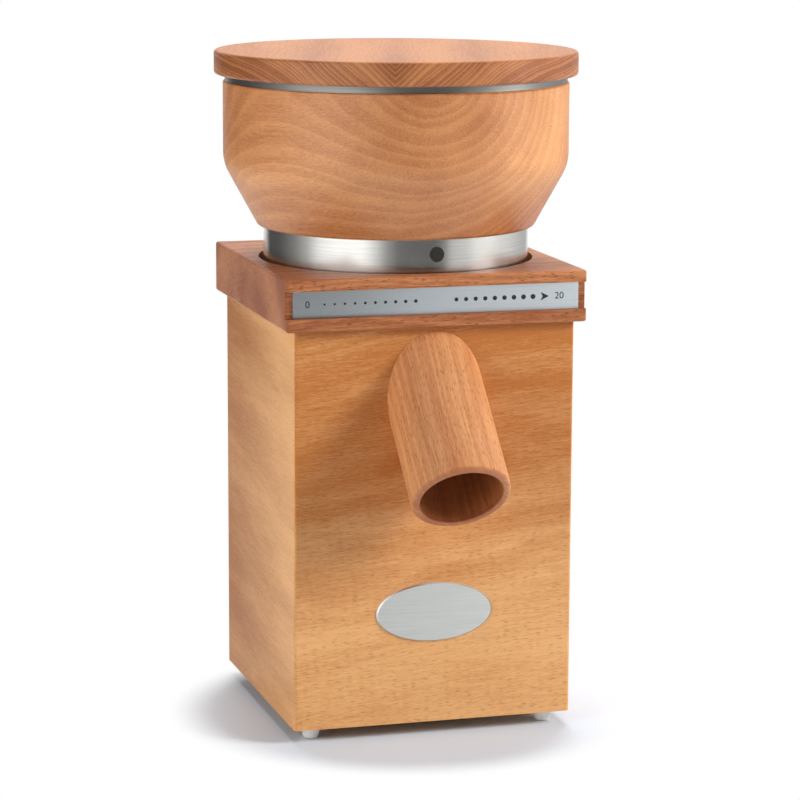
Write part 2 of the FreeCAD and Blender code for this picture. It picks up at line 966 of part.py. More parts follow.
def rocker():
    """A rocker leaning back at its upper end, with a stub axle at each side."""
    pivot = rocker_pivot()
    points = [Vector(-rocker_width / 2, y, z) for z, y in rocker_profile(0.0)]
    body = Part.Face(Part.makePolygon(points + points[:1])).extrude(Vector(rocker_width, 0, 0))
    body.rotate(Vector(0, 0, 0), Vector(1, 0, 0), -rocker_travel / 2)
    axle_half = rocker_width / 2 + 1.5
    axle = aimed(cylinder(rocker_pivot_radius, -axle_half, axle_half), Vector(0, 0, 0), Vector(1, 0, 0))
    return body.fuse(axle).translated(pivot)


def switch_body():
    back = -front
    z = body_bottom + switch_height_up
    bezel = block(
        -switch_bezel_width / 2,
        switch_bezel_width / 2,
        back,
        back + switch_bezel_thickness,
        z - switch_bezel_height / 2,
        z + switch_bezel_height / 2,
    )
    half_width = switch_body_width / 2 - press_gap
    half_height = switch_body_height / 2 - press_gap
    body = block(-half_width, half_width, back - switch_body_depth, back, z - half_height, z + half_height)
    well_half = rocker_length / 2 + 1.8
    pivot = rocker_pivot()
    well = block(
        -rocker_width / 2 - rocker_gap,
        rocker_width / 2 + rocker_gap,
        pivot.y - rocker_pivot_depth - 2.5,
        back + switch_bezel_thickness + 1,
        z - well_half,
        z + well_half,
    )
    axle_half = rocker_width / 2 + 1.6
    seat = aimed(cylinder(rocker_pivot_radius + shaft_fit, -axle_half, axle_half), pivot, Vector(1, 0, 0))
    return bezel.fuse(body).cut([well, seat])


def terminal_block():
    y1 = inside - base_clearance
    top = floor_inside + block_height
    solid = block(-block_width / 2, block_width / 2, y1 - block_depth, y1, floor_inside, top)
    screw_wells = [
        cylinder(2.0, top - 3, top + 1, x, y1 - 4)
        for x in (-block_width / 4, 0, block_width / 4)
    ]
    return solid.cut(screw_wells)


def capacitor():
    z = body_bottom + capacitor_height_up
    half = capacitor_length / 2
    solid = block(-inside, -inside + capacitor_thickness, -half, half, z, z + capacitor_height)
    return solid.makeFillet(2.0, [e for e in solid.Edges if e.CenterOfMass.x > -inside + 1])


def wire(points):
    """An insulated wire along straight runs joined by tangent arcs."""
    runs = []
    here = points[0]
    for i in range(1, len(points) - 1):
        corner = points[i]
        back = (points[i - 1] - corner).normalize()
        ahead = (points[i + 1] - corner).normalize()
        half = back.getAngle(ahead) / 2
        reach = wire_bend / math.tan(half)
        begin = corner + back * reach
        end = corner + ahead * reach
        middle = corner + (back + ahead).normalize() * (wire_bend / math.sin(half) - wire_bend)
        runs.append(Part.makeLine(here, begin))
        runs.append(Part.Arc(begin, middle, end).toShape())
        here = end
    runs.append(Part.makeLine(here, points[-1]))
    spine = Part.Wire(runs)
    section = Part.Wire(Part.makeCircle(wire_radius, points[0], points[1] - points[0]))
    return spine.makePipeShell([section], True, False)


def inner_wires():
    wires = []
    block_front = inside - base_clearance - block_depth
    block_top = floor_inside + block_height
    switch_low = body_bottom + switch_height_up - switch_body_height / 2 + press_gap
    for x in (-block_width / 4 - 2, block_width / 4 + 2):
        y = inside - base_clearance - block_depth + 3
        wires.append(wire([Vector(x, y, block_top), Vector(x, y, switch_low)]))
    low = floor_inside + block_height / 2
    side = (stator_half_width + inside) / 2
    for way in (-1, 1):
        y = inside - batten_width - 4
        holder_end = commutator_radius + 2.0 + holder_length
        wires.append(
            wire(
                [
                    Vector(way * block_width / 3, block_front, low),
                    Vector(way * block_width / 3, y, low),
                    Vector(way * side, y, low),
                    Vector(way * side, y, brush_height()),
                    Vector(way * side, 0, brush_height()),
                    Vector(way * holder_end, 0, brush_height()),
                ]
            )
        )
    return Part.makeCompound(wires)


# Lid


def lid_disc(holes):
    disc = turned(
        [
            (0, lid_seat),
            (lid_radius, lid_seat, lid_rounding),
            (lid_radius, lid_seat + lid_thickness, lid_rounding),
            (0, lid_seat + lid_thickness),
        ]
    )
    return disc.cut(holes)


def lid_plug(holes):
    radius = bowl_radius - bowl_wall - plug_clearance
    low = lid_seat - plug_depth
    return turned([(0, low), (radius, low, 1.0), (radius, lid_seat), (0, lid_seat)]).cut(holes)


# The whole mill


def build():
    """Every piece by name."""
    down = Vector(0, 0, -1)
    up = Vector(0, 0, 1)
    parts = {}

    batten_middle = inside - batten_width / 2
    base_places = [Vector(x, y, body_bottom) for x, y in at_corners(batten_middle)]
    base_length = base_thickness + batten_bite
    parts["base_screws"], holes = with_screws(flat_screw, wood_screw, base_length, base_places, down)
    parts["base_plate"] = base_plate(holes)
    parts["corner_battens"] = corner_battens(holes)

    parts["front_panel"] = front_panel()
    parts["back_panel"] = back_panel()
    parts["left_panel"] = panel(3)
    parts["right_panel"] = panel(1)
    parts["feet"] = feet()

    flange_places = [Vector(x, y, flange_top) for _, x, y in around(4, spring_circle_radius)]
    parts["chamber_screws"], holes = with_screws(
        flat_screw, small_screw, flange_thickness + cap_bite, flange_places, up
    )
    parts["cap_board"] = cap_board(holes)
    shield_places = [Vector(x, y, shield_bottom) for _, x, y in around(4, driver_radius - 2, 45)]
    shield_length = shield_thickness + chamber_floor - 1
    parts["shield_screws"], shield_holes = with_screws(
        pan_screw, shield_screw, shield_length, shield_places, down
    )
    parts["grinding_chamber"] = grinding_chamber(holes + shield_holes)
    parts["guide_collar"] = guide_collar()
    parts["outlet_duct"] = outlet_duct()
    parts["spout_tube"] = spout_tube()
    parts["scale_plate"] = scale_plate()
    parts["front_badge"] = front_badge()

    bolt_places = [Vector(x, y, lower_shield_bottom) for x, y in at_corners(bolt_offset)]
    bolt_length = shield_bottom - lower_shield_bottom + shield_thickness / 2
    parts["through_bolts"], bolt_holes = with_screws(
        pan_screw, (bolt_radius, 3.6, 2.8), bolt_length, bolt_places, down
    )
    parts["upper_end_shield"] = upper_end_shield(bolt_holes + shield_holes)
    parts["lower_end_shield"] = lower_end_shield(bolt_holes)
    parts["stator_core"] = stator_core(bolt_holes)
    parts["upper_bush"] = shaft_bush(shield_bottom, chamber_bottom)
    parts["lower_bush"] = shaft_bush(lower_shield_bottom, lower_shield_top)
    parts["field_coils"] = field_coils()
    parts["brush_holders"] = brush_holders()
    parts["carbon_brushes"] = carbon_brushes()

    parts["switch_body"] = switch_body()
    parts["rocker"] = rocker()
    parts["cable_gland"] = cable_gland()
    parts["gland_nut"] = gland_nut()
    parts["terminal_block"] = terminal_block()
    parts["capacitor"] = capacitor()
    parts["inner_wires"] = inner_wires()

    parts["rotor_shaft"] = rotor_shaft()
    parts["armature_core"] = armature_core()
    parts["armature_winding"] = armature_winding()
    parts["commutator"] = commutator()
    parts["cooling_fan"] = cooling_fan()
    parts["stone_driver"] = stone_driver()
    parts["lower_stone"] = lower_stone()
    parts["feed_cone"] = feed_cone()

    parts["float_ring"] = float_ring()
    parts["ring_springs"] = ring_springs()

    disc_circle = (boss_radius + base_disc_radius) / 2 + 3
    disc_places = [Vector(x, y, hopper_seat) for _, x, y in around(6, disc_circle)]
    parts["hopper_screws"], disc_holes = with_screws(
        flat_screw, small_screw, base_disc_thickness + bowl_bite, disc_places, down
    )
    stone_screw_z = disc_top - small_screw[2]
    stone_places = [Vector(x, y, stone_screw_z) for _, x, y in around(3, driver_radius - 2, 30)]
    stone_screw_length = stone_screw_z - boss_bottom + stone_thickness / 2
    parts["stone_screws"], stone_holes = with_screws(
        pan_screw, small_screw, stone_screw_length, stone_places, up
    )
    parts["hopper_bowl"] = hopper_bowl(disc_holes)
    parts["hopper_base"] = hopper_base(disc_holes + stone_holes)
    parts["hopper_thread"] = hopper_thread()
    parts["hopper_sleeve"] = hopper_sleeve()
    parts["index_dot"] = index_dot()
    parts["rim_band"] = rim_band()
    parts["upper_stone"] = upper_stone(stone_holes)

    plug_places = [Vector(x, y, lid_seat - plug_depth) for _, x, y in around(3, lid_radius / 2, 30)]
    lid_length = plug_depth + lid_bite
    parts["lid_screws"], holes = with_screws(flat_screw, small_screw, lid_length, plug_places, down)
    parts["lid_disc"] = lid_disc(holes)
    parts["lid_plug"] = lid_plug(holes)
    return parts


os.makedirs("parts", exist_ok=True)
for name, shape in build().items():
    moved = shape.translated(Vector(0, axis_y, 0))
    moved.exportStep("parts/" + name + ".step")
    box = moved.BoundBox
    print(
        f"{name:18s} solids {len(moved.Solids)} valid {moved.isValid()} volume {moved.Volume:10.0f}"
        f"  x {box.XMin:7.2f} {box.XMax:7.2f}  y {box.YMin:7.2f} {box.YMax:7.2f}"
        f"  z {box.ZMin:7.2f} {box.ZMax:7.2f}"
    )
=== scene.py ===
import math

import bpy
import numpy as np
from mathutils import Matrix, Vector


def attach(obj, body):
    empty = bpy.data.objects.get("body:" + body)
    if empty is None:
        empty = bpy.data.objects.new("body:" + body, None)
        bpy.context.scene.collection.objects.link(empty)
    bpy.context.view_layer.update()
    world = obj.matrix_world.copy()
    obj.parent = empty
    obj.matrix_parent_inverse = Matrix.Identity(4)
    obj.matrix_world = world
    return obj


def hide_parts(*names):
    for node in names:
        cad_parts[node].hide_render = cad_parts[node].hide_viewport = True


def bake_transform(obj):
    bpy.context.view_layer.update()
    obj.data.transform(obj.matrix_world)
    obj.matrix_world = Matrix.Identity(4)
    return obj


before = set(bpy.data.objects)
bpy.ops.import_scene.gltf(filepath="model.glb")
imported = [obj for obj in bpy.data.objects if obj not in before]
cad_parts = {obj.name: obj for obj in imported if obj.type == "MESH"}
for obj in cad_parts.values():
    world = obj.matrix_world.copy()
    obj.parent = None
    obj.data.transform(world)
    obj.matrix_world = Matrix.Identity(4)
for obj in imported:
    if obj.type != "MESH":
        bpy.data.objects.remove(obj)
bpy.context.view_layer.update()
millAxis = Vector((0.0, 0.019248, 0.0))  # the upright line that stones, bowl and lid share
print("mill frame loaded:", len(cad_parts), "nodes")


# a colour as it is seen on screen, turned into the linear value that Blender mixes
def seen(code):
    parts = [int(code[i:i + 2], 16) / 255 for i in (0, 2, 4)]
    return [p / 12.92 if p <= 0.04045 else ((p + 0.055) / 1.055) ** 2.4 for p in parts] + [1.0]


def addObject(name, data):
    made = bpy.data.objects.new(name, data)
    bpy.context.scene.collection.objects.link(made)
    return made


viewpoint = {
    "place": (-0.41897, -1.42859, 0.42304),
    "yaw": 16.4425,
    "down": 10.2502,
    "roll": 0.2767,
    "focalPixels": 3121.4,
    "centreColumn": 411.16,
    "imageWidth": 800,
    "sensorWidth": 36,
    "clip": (0.05, 100),
}


def placeCamera(v):
    yaw, down, roll = (math.radians(v[k]) for k in ("yaw", "down", "roll"))
    level = Vector((math.sin(yaw), math.cos(yaw), 0))
    right = Vector((math.cos(yaw), -math.sin(yaw), 0))
    rise = Vector((0, 0, 1))
    ahead = level * math.cos(down) - rise * math.sin(down)
    above = rise * math.cos(down) + level * math.sin(down)
    side = right * math.cos(roll) + above * math.sin(roll)
    above = above * math.cos(roll) - right * math.sin(roll)
    data = bpy.data.cameras.new("tableCamera")
    data.sensor_width = v["sensorWidth"]
    data.lens = v["focalPixels"] / v["imageWidth"] * v["sensorWidth"]
    data.shift_x = (v["imageWidth"] / 2 - v["centreColumn"]) / v["imageWidth"]
    data.clip_start, data.clip_end = v["clip"]
    camera = addObject("tableCamera", data)
    turn = Matrix((side, above, -ahead)).transposed().to_4x4()
    camera.matrix_world = Matrix.Translation(v["place"]) @ turn
    bpy.context.scene.camera = camera


placeCamera(viewpoint)
bpy.context.scene.view_settings.view_transform = "Standard"


# makes one node, sets what is a setting, and links or fills what is a socket
def addNode(tree, kind, sockets=None, **settings):
    made = tree.nodes.new(kind)
    for name, value in settings.items():
        setattr(made, name, value)
    for socket, value in (sockets or {}).items():
        if isinstance(value, bpy.types.NodeSocket):
            tree.links.new(value, made.inputs[socket])
        else:
            made.inputs[socket].default_value = value
    return made


def calc(tree, operation, a, b=0.0, c=0.0, clamp=False):
    sockets = {0: a, 1: b, 2: c}
    return addNode(tree, "ShaderNodeMath", sockets, operation=operation, use_clamp=clamp).outputs[0]


def vecCalc(tree, operation, a, b):
    return addNode(tree, "ShaderNodeVectorMath", {0: a, 1: b}, operation=operation).outputs[0]


def scaleVector(tree, vector, factor):
    return addNode(tree, "ShaderNodeVectorMath", {0: vector, "Scale": factor}, operation="SCALE").outputs[0]


def lengthOf(tree, vector):
    return addNode(tree, "ShaderNodeVectorMath", {0: vector}, operation="LENGTH").outputs["Value"]


def splitVector(tree, vector):
    return addNode(tree, "ShaderNodeSeparateXYZ", {0: vector}).outputs


def blendColour(tree, amount, a, b, mode="MIX"):
    made = addNode(tree, "ShaderNodeMix", {0: amount, 6: a, 7: b}, data_type="RGBA", blend_type=mode)
    return made.outputs[2]


# a value that goes smoothly from start to end as another passes from low to high
def eased(tree, value, low, high, start=0.0, end=1.0):
    sockets = {"Value": value, "From Min": low, "From Max": high, "To Min": start, "To Max": end}
    return addNode(tree, "ShaderNodeMapRange", sockets, interpolation_type="SMOOTHSTEP").outputs[0]


# a value's distance from its middle, times a share, on top of another value
def sway(tree, value, middle, share, onto):
    return calc(tree, "MULTIPLY_ADD", calc(tree, "SUBTRACT", value, middle), share, onto)


def cloud(tree, at, detail=2.0, roughness=0.5, out=0):
    sockets = {"Vector": at, "Scale": 1.0, "Detail": detail, "Roughness": roughness}
    return addNode(tree, "ShaderNodeTexNoise", sockets).outputs[out]


# a cloud stretched by a factor for each axis
def noise(tree, vector, stretch, detail=2.0, roughness=0.5, out=0):
    return cloud(tree, vecCalc(tree, "MULTIPLY", vector, stretch), detail, roughness, out)


# cells of one size: the distance from each cell's middle, and random numbers for each cell
def cells(tree, at, scale=1.0):
    made = addNode(tree, "ShaderNodeTexVoronoi", {"Vector": at, "Scale": scale, "Randomness": 1.0}).outputs
    pick = addNode(tree, "ShaderNodeSeparateColor", {0: made["Color"]}).outputs
    return made["Distance"], pick


# 1 where the camera, a mirror or a lens looks, 0 for light on its way
def seenDirectly(tree):
    path = addNode(tree, "ShaderNodeLightPath").outputs
    mirrored = calc(tree, "MAXIMUM", path["Is Camera Ray"], path["Is Glossy Ray"])
    return calc(tree, "MAXIMUM", mirrored, path["Is Transmission Ray"])


# surfaces as node groups: each gives a colour, a roughness and a height
def startGroup(name, takes):
    group = bpy.data.node_groups.new(name, "ShaderNodeTree")
    for label, kind, value in (("Vector", "Vector", None),) + takes:
        socket = group.interface.new_socket(label, in_out="INPUT", socket_type="NodeSocket" + kind)
        if kind == "Float":
            socket.default_value = value
        if kind == "Color":
            socket.default_value = seen(value)
    for label, kind in (("Color", "Color"), ("Roughness", "Float"), ("Height", "Float")):
        group.interface.new_socket(label, in_out="OUTPUT", socket_type="NodeSocket" + kind)
    return group, group.nodes.new("NodeGroupInput").outputs


def endGroup(group, colour, roughness, height):
    take = group.nodes.new("NodeGroupOutput")
    for place, value in enumerate((colour, roughness, height)):
        group.links.new(value, take.inputs[place])
    return group


# stretches are in turns per mm along the grain and across it
beechForm = {
    "seedStep": (137.0, 61.0, 29.0),
    "wander": (0.009, 0.022, 0.022),
    "ringUneven": 0.37,
    "ringCrowding": 2.6,
    "ringRise": (0.0, 0.88),
    "ringFall": (1.0, 0.9),
    "flame": (0.0065, 0.04, 0.04),
    "streak": (0.05, 1.2, 1.2),
    "fibre": (0.3, 3.2, 3.2),
    "fibreStrength": 0.85,
    "ray": (0.19, 2.1, 0.5),
    "rayEdge": (0.34, 0.1),
    "ringMiddle": 0.35,
    "tone": 0.45,
    "roughness": 0.34,
    "fleckRoughness": 0.1,
    "streakRoughness": 0.2,
    "fibreHeight": 0.4,
}


# beech as a solid block: X runs along the grain, and the heart line is the X axis, all in mm
def makeBeech(form):
    takes = (
        ("Pale", "Color", "e6b680"),
        ("Deep", "Color", "c98a54"),
        ("Fleck", "Color", "8a5330"),
        ("Ring Spacing", "Float", 5.0),
        ("Ring Strength", "Float", 0.35),
        ("Ring Edge", "Float", 0.7),
        ("Wander", "Float", 10.0),
        ("Band Strength", "Float", 0.3),
        ("Band Centre", "Float", 3.0),
        ("Band Period", "Float", 11.0),
        ("Flame Strength", "Float", 0.5),
        ("Streak Strength", "Float", 0.5),
        ("Fleck Strength", "Float", 0.6),
        ("Fleck Share", "Float", 0.5),
        ("Tone Shift", "Float", 0.0),
        ("Seed", "Float", 0.0),
    )
    t, give = startGroup("beechGrain", takes)
    own = vecCalc(t, "ADD", give["Vector"], vecCalc(t, "MULTIPLY", give["Seed"], form["seedStep"]))
    # growth rings: distance from the heart line, pushed about by a slow wander
    push = vecCalc(t, "SUBTRACT", noise(t, own, form["wander"], 2.5, 0.5, out=1), (0.5, 0.5, 0.5))
    ringAt = splitVector(t, vecCalc(t, "ADD", give["Vector"], scaleVector(t, push, give["Wander"])))
    across = calc(t, "MULTIPLY", ringAt[1], ringAt[1])
    radius = calc(t, "SQRT", calc(t, "MULTIPLY_ADD", ringAt[2], ringAt[2], across))
    even = calc(t, "DIVIDE", radius, give["Ring Spacing"])
    sockets = {"W": even, "Scale": form["ringUneven"], "Detail": 2.0}
    uneven = addNode(t, "ShaderNodeTexNoise", sockets, noise_dimensions="1D").outputs[0]
    count = calc(t, "MULTIPLY_ADD", uneven, form["ringCrowding"], even)
    phase = calc(t, "FRACT", count)
    crisp = calc(t, "MULTIPLY", eased(t, phase, *form["ringRise"]), eased(t, phase, *form["ringFall"]))
    wave = calc(t, "COSINE", calc(t, "MULTIPLY", phase, 2 * math.pi))
    soft = calc(t, "MULTIPLY_ADD", wave, -0.5, 0.5)
    ring = addNode(t, "ShaderNodeMix", {0: give["Ring Edge"], 2: soft, 3: crisp}).outputs[0]
    # broad bands that follow the rings, flames, fibre streaks and fine fibres
    bandAt = calc(t, "DIVIDE", calc(t, "SUBTRACT", count, give["Band Centre"]), give["Band Period"])
    bandWave = calc(t, "COSINE", calc(t, "MULTIPLY", bandAt, 2 * math.pi))
    band = calc(t, "MULTIPLY_ADD", bandWave, 0.5, 0.5)
    flame = eased(t, noise(t, own, form["flame"], 3.0, 0.55), 0.3, 0.7)
    streak = noise(t, own, form["streak"], 4.0, 0.72)
    fibre = noise(t, own, form["fibre"], 2.0, 0.7)
    # rays: thin dark dashes on the flat face, lens shapes on the quarter face
    toRay, rayPick = cells(t, vecCalc(t, "MULTIPLY", own, form["ray"]))
    hasRay = calc(t, "LESS_THAN", rayPick[0], give["Fleck Share"])
    fleck = calc(t, "MULTIPLY", hasRay, eased(t, toRay, *form["rayEdge"]))
    # how far from the pale tone to the deep one; the mix keeps it between 0 and 1
    tone = calc(t, "ADD", give["Tone Shift"], form["tone"])
    tone = sway(t, ring, form["ringMiddle"], give["Ring Strength"], tone)
    tone = sway(t, band, 0.5, give["Band Strength"], tone)
    tone = sway(t, flame, 0.5, give["Flame Strength"], tone)
    tone = sway(t, streak, 0.5, give["Streak Strength"], tone)
    tone = sway(t, fibre, 0.5, form["fibreStrength"], tone)
    colour = blendColour(t, tone, give["Pale"], give["Deep"])
    colour = blendColour(t, calc(t, "MULTIPLY", fleck, give["Fleck Strength"]), colour, give["Fleck"])
    roughness = calc(t, "MULTIPLY_ADD", fleck, form["fleckRoughness"], form["roughness"])
    roughness = calc(t, "MULTIPLY_ADD", streak, form["streakRoughness"], roughness)
    height = calc(t, "MULTIPLY_ADD", fibre, form["fibreHeight"], streak)
    return endGroup(t, colour, roughness, calc(t, "SUBTRACT", height, fleck))


brushForm = {
    "lineEdges": (0.25, 0.75),
    "patch": (0.05, 0.05, 0.12),
    "patchShare": 0.3,
    "roughSpread": 0.22,
}


# brushed metal: lines that are thin along Z of the vector and long along X and Y, in mm
def makeBrushed(form):
    takes = (
        ("Metal", "Color", "c9cacb"),
        ("Shade", "Color", "9fa1a3"),
        ("Line Width", "Float", 0.14),
        ("Line Length", "Float", 30.0),
        ("Depth", "Float", 0.5),
        ("Roughness", "Float", 0.34),
    )
    t, give = startGroup("brushedMetal", takes)
    thin = calc(t, "DIVIDE", 1.0, give["Line Width"])
    run = calc(t, "DIVIDE", 1.0, give["Line Length"])
    stretch = addNode(t, "ShaderNodeCombineXYZ", {0: run, 1: run, 2: thin}).outputs[0]
    lines = noise(t, give["Vector"], stretch, 3.0, 0.7)
    patch = noise(t, give["Vector"], form["patch"], 3.0, 0.6)
    both = calc(t, "MULTIPLY_ADD", patch, form["patchShare"], eased(t, lines, *form["lineEdges"]))
    amount = calc(t, "MULTIPLY", both, give["Depth"], clamp=True)
    roughness = sway(t, lines, 0.5, form["roughSpread"], give["Roughness"])
    return endGroup(t, blendColour(t, amount, give["Metal"], give["Shade"]), roughness, lines)


skinForm = {
    "softEdges": (0.3, 0.7),
    "fineShare": 0.35,
    "wideShare": 0.65,
    "pitScale": 0.45,
    "pitEdges": (0.45, 0.2),
    "pitShade": 0.5,
    "roughSpread": 0.25,
}


# cast, plated, moulded and pressed surfaces: a fine skin, soft blotches and a few pits
def makeSkin(form):
    takes = (
        ("Base", "Color", "808080"),
        ("Blotch", "Color", "606060"),
        ("Grain Size", "Float", 0.8),
        ("Blotch Size", "Float", 14.0),
        ("Amount", "Float", 0.5),
        ("Pit Share", "Float", 0.1),
        ("Roughness", "Float", 0.5),
    )
    t, give = startGroup("formedSkin", takes)
    fineAt = scaleVector(t, give["Vector"], calc(t, "DIVIDE", 1.0, give["Grain Size"]))
    wideAt = scaleVector(t, give["Vector"], calc(t, "DIVIDE", 1.0, give["Blotch Size"]))
    fine = cloud(t, fineAt, 3.0, 0.6)
    wide = cloud(t, wideAt, 4.0, 0.55)
    toPit, pitPick = cells(t, fineAt, form["pitScale"])
    hasPit = calc(t, "LESS_THAN", pitPick[0], give["Pit Share"])
    pit = calc(t, "MULTIPLY", hasPit, eased(t, toPit, *form["pitEdges"]))
    mixed = calc(t, "MULTIPLY", eased(t, wide, *form["softEdges"]), form["wideShare"])
    mixed = calc(t, "MULTIPLY_ADD", eased(t, fine, *form["softEdges"]), form["fineShare"], mixed)
    shade = calc(t, "MULTIPLY", pit, form["pitShade"])
    amount = calc(t, "ADD", calc(t, "MULTIPLY", mixed, give["Amount"]), shade, clamp=True)
    roughness = sway(t, wide, 0.5, form["roughSpread"], give["Roughness"])
    colour = blendColour(t, amount, give["Base"], give["Blotch"])
    return endGroup(t, colour, roughness, calc(t, "SUBTRACT", fine, pit))


turnForm = {
    "wobble": (0.12, 0.12, 0.12),
    "shade": (0.4, 0.4, 0.4),
    "ridgeEdges": (0.0, 0.55),
    "shadeShare": 0.5,
    "crestShare": 0.6,
    "roughness": 0.28,
    "roughSpread": 0.2,
}


# turns of wire or stacked sheets: even ridges along X of the vector, a little uneven
def makeTurns(form):
    takes = (
        ("Crest", "Color", "c27b4a"),
        ("Gap", "Color", "4a2414"),
        ("Pitch", "Float", 0.8),
        ("Unevenness", "Float", 0.4),
    )
    t, give = startGroup("woundTurns", takes)
    wobble = noise(t, give["Vector"], form["wobble"])
    along = calc(t, "MULTIPLY_ADD", wobble, give["Unevenness"], splitVector(t, give["Vector"])[0])
    at = calc(t, "DIVIDE", along, give["Pitch"])
    ridge = calc(t, "ABSOLUTE", calc(t, "SINE", calc(t, "MULTIPLY", at, math.pi)))
    shade = noise(t, give["Vector"], form["shade"], 3.0)
    crest = calc(t, "MULTIPLY_ADD", shade, form["shadeShare"], form["crestShare"])
    amount = calc(t, "MULTIPLY", eased(t, ridge, *form["ridgeEdges"]), crest, clamp=True)
    roughness = calc(t, "MULTIPLY_ADD", shade, form["roughSpread"], form["roughness"])
    return endGroup(t, blendColour(t, amount, give["Gap"], give["Crest"]), roughness, ridge)


stoneForm = {
    "grainEdges": (0.55, 0.35),
    "lightShare": 0.4,
    "darkShare": 0.22,
    "pore": (0.9, 0.9, 0.9),
    "poreEdges": (0.38, 0.3),
    "poreShade": 0.6,
    "grainHeight": 0.6,
    "roughness": 0.9,
    "lightRoughness": -0.25,
}


# bonded stone: pale and dark grains of a millimetre or two in a grey bond, with open pores
def makeStone(form):
    takes = (
        ("Bond", "Color", "b9b3a8"),
        ("Light Grain", "Color", "e4e0d6"),
        ("Dark Grain", "Color", "6d665e"),
        ("Grain Size", "Float", 1.4),
    )
    t, give = startGroup("bondedStone", takes)
    at = scaleVector(t, give["Vector"], calc(t, "DIVIDE", 1.0, give["Grain Size"]))
    toGrain, grainPick = cells(t, at)
    body = eased(t, toGrain, *form["grainEdges"])
    light = calc(t, "MULTIPLY", calc(t, "LESS_THAN", grainPick[0], form["lightShare"]), body)
    dark = calc(t, "MULTIPLY", calc(t, "LESS_THAN", grainPick[1], form["darkShare"]), body)
    pore = eased(t, noise(t, at, form["pore"], 3.0, 0.6), *form["poreEdges"])
    colour = blendColour(t, light, give["Bond"], give["Light Grain"])
    colour = blendColour(t, dark, colour, give["Dark Grain"])
    colour = blendColour(t, calc(t, "MULTIPLY", pore, form["poreShade"]), colour, give["Dark Grain"])
    roughness = calc(t, "MULTIPLY_ADD", light, form["lightRoughness"], form["roughness"])
    height = calc(t, "SUBTRACT", calc(t, "MULTIPLY", body, form["grainHeight"]), pore)
    return endGroup(t, colour, roughness, height)


groups = {
    "wood": makeBeech(beechForm),
    "brushed": makeBrushed(brushForm),
    "skin": makeSkin(skinForm),
    "turns": makeTurns(turnForm),
    "stone": makeStone(stoneForm),
}
finishes = {}


# Euler turn of a block whose X lies along one direction and whose Z leans towards another
def blockTurn(along, towards):
    x = Vector(along).normalized()
    z = Vector(towards)
    z = (z - x * z.dot(x)).normalized()
    y = z.cross(x)
    return Matrix((x, y, z)).transposed().to_euler()


# Object coordinates as a block of material has them, in mm from its heart
def inBlock(t, place, block):
    mapped = addNode(t, "ShaderNodeMapping", {"Vector": place}, vector_type="TEXTURE")
    mapped.inputs["Location"].default_value = [v / 1000 for v in block["heart"]]
    mapped.inputs["Rotation"].default_value = blockTurn(block["along"], block["towards"])
    mapped.inputs["Scale"].default_value = (0.001, 0.001, 0.001)
    return mapped.outputs[0]


# a panel further back than a given depth is a board of its own
def changeBoard(t, place, mapped, behind):
    isBehind = calc(t, "GREATER_THAN", splitVector(t, place)[1], behind["depth"] / 1000)
    sockets = {0: isBehind, 4: mapped, 5: inBlock(t, place, behind)}
    return addNode(t, "ShaderNodeMix", sockets, data_type="VECTOR").outputs[1]


# two boards glued as mirror images: Y is folded at the joint, and the heart lies to one side of it
def foldBoards(t, block, aside):
    axes = splitVector(t, block)
    folded = calc(t, "SUBTRACT", calc(t, "ABSOLUTE", axes[1]), aside)
    return addNode(t, "ShaderNodeCombineXYZ", {0: axes[0], 1: folded, 2: axes[2]}).outputs[0]


# group inputs that change along an axis of the mill or along the board's own grain, in mm
def easeInputs(t, place, block, group, eases):
    mill = splitVector(t, vecCalc(t, "MULTIPLY", place, (1000, 1000, 1000)))
    spots = {"x": mill[0], "y": mill[1], "z": mill[2], "grain": splitVector(t, block)[0]}
    for name, (axis, low, high, start, end) in eases.items():
        t.links.new(eased(t, spots[axis], low, high, start, end), group.inputs[name])


# painted shade inside a bored tube: the wood is darkened by its distance from the tube's axis
def paintBoreShade(t, place, colour, bore):
    offAxis = lengthOf(t, vecCalc(t, "MULTIPLY", inBlock(t, place, bore), (0, 1, 1)))
    outer, inner = bore["edge"]
    inside = eased(t, offAxis, bore["radius"] + outer, bore["radius"] + inner)
    return blendColour(t, inside, colour, seen(bore["colour"]), mode="MULTIPLY")


# a thin strip never lies quite flat: its face leans with x, as on a very large cylinder
def bowNormal(t, place, lean, curve):
    across = splitVector(t, place)[0]
    rise = calc(t, "MULTIPLY", across, calc(t, "MULTIPLY_ADD", across, curve / 2, lean))
    return addNode(t, "ShaderNodeBump", {"Strength": 1.0, "Distance": 1.0, "Height": rise}).outputs[0]


# what a look has where it says nothing else; relief is in metres
plainLook = {
    "heart": (0, 0, 0),
    "along": (1, 0, 0),
    "towards": (0, 0, 1),
    "bump": 0.2,
    "relief": 0.0001,
    "metallic": 0.0,
    "coat": 0.0,
    "coatRoughness": 0.3,
    "specular": 0.5,
    "sheenTurn": 0.25,  # light spreads across the brush lines
}


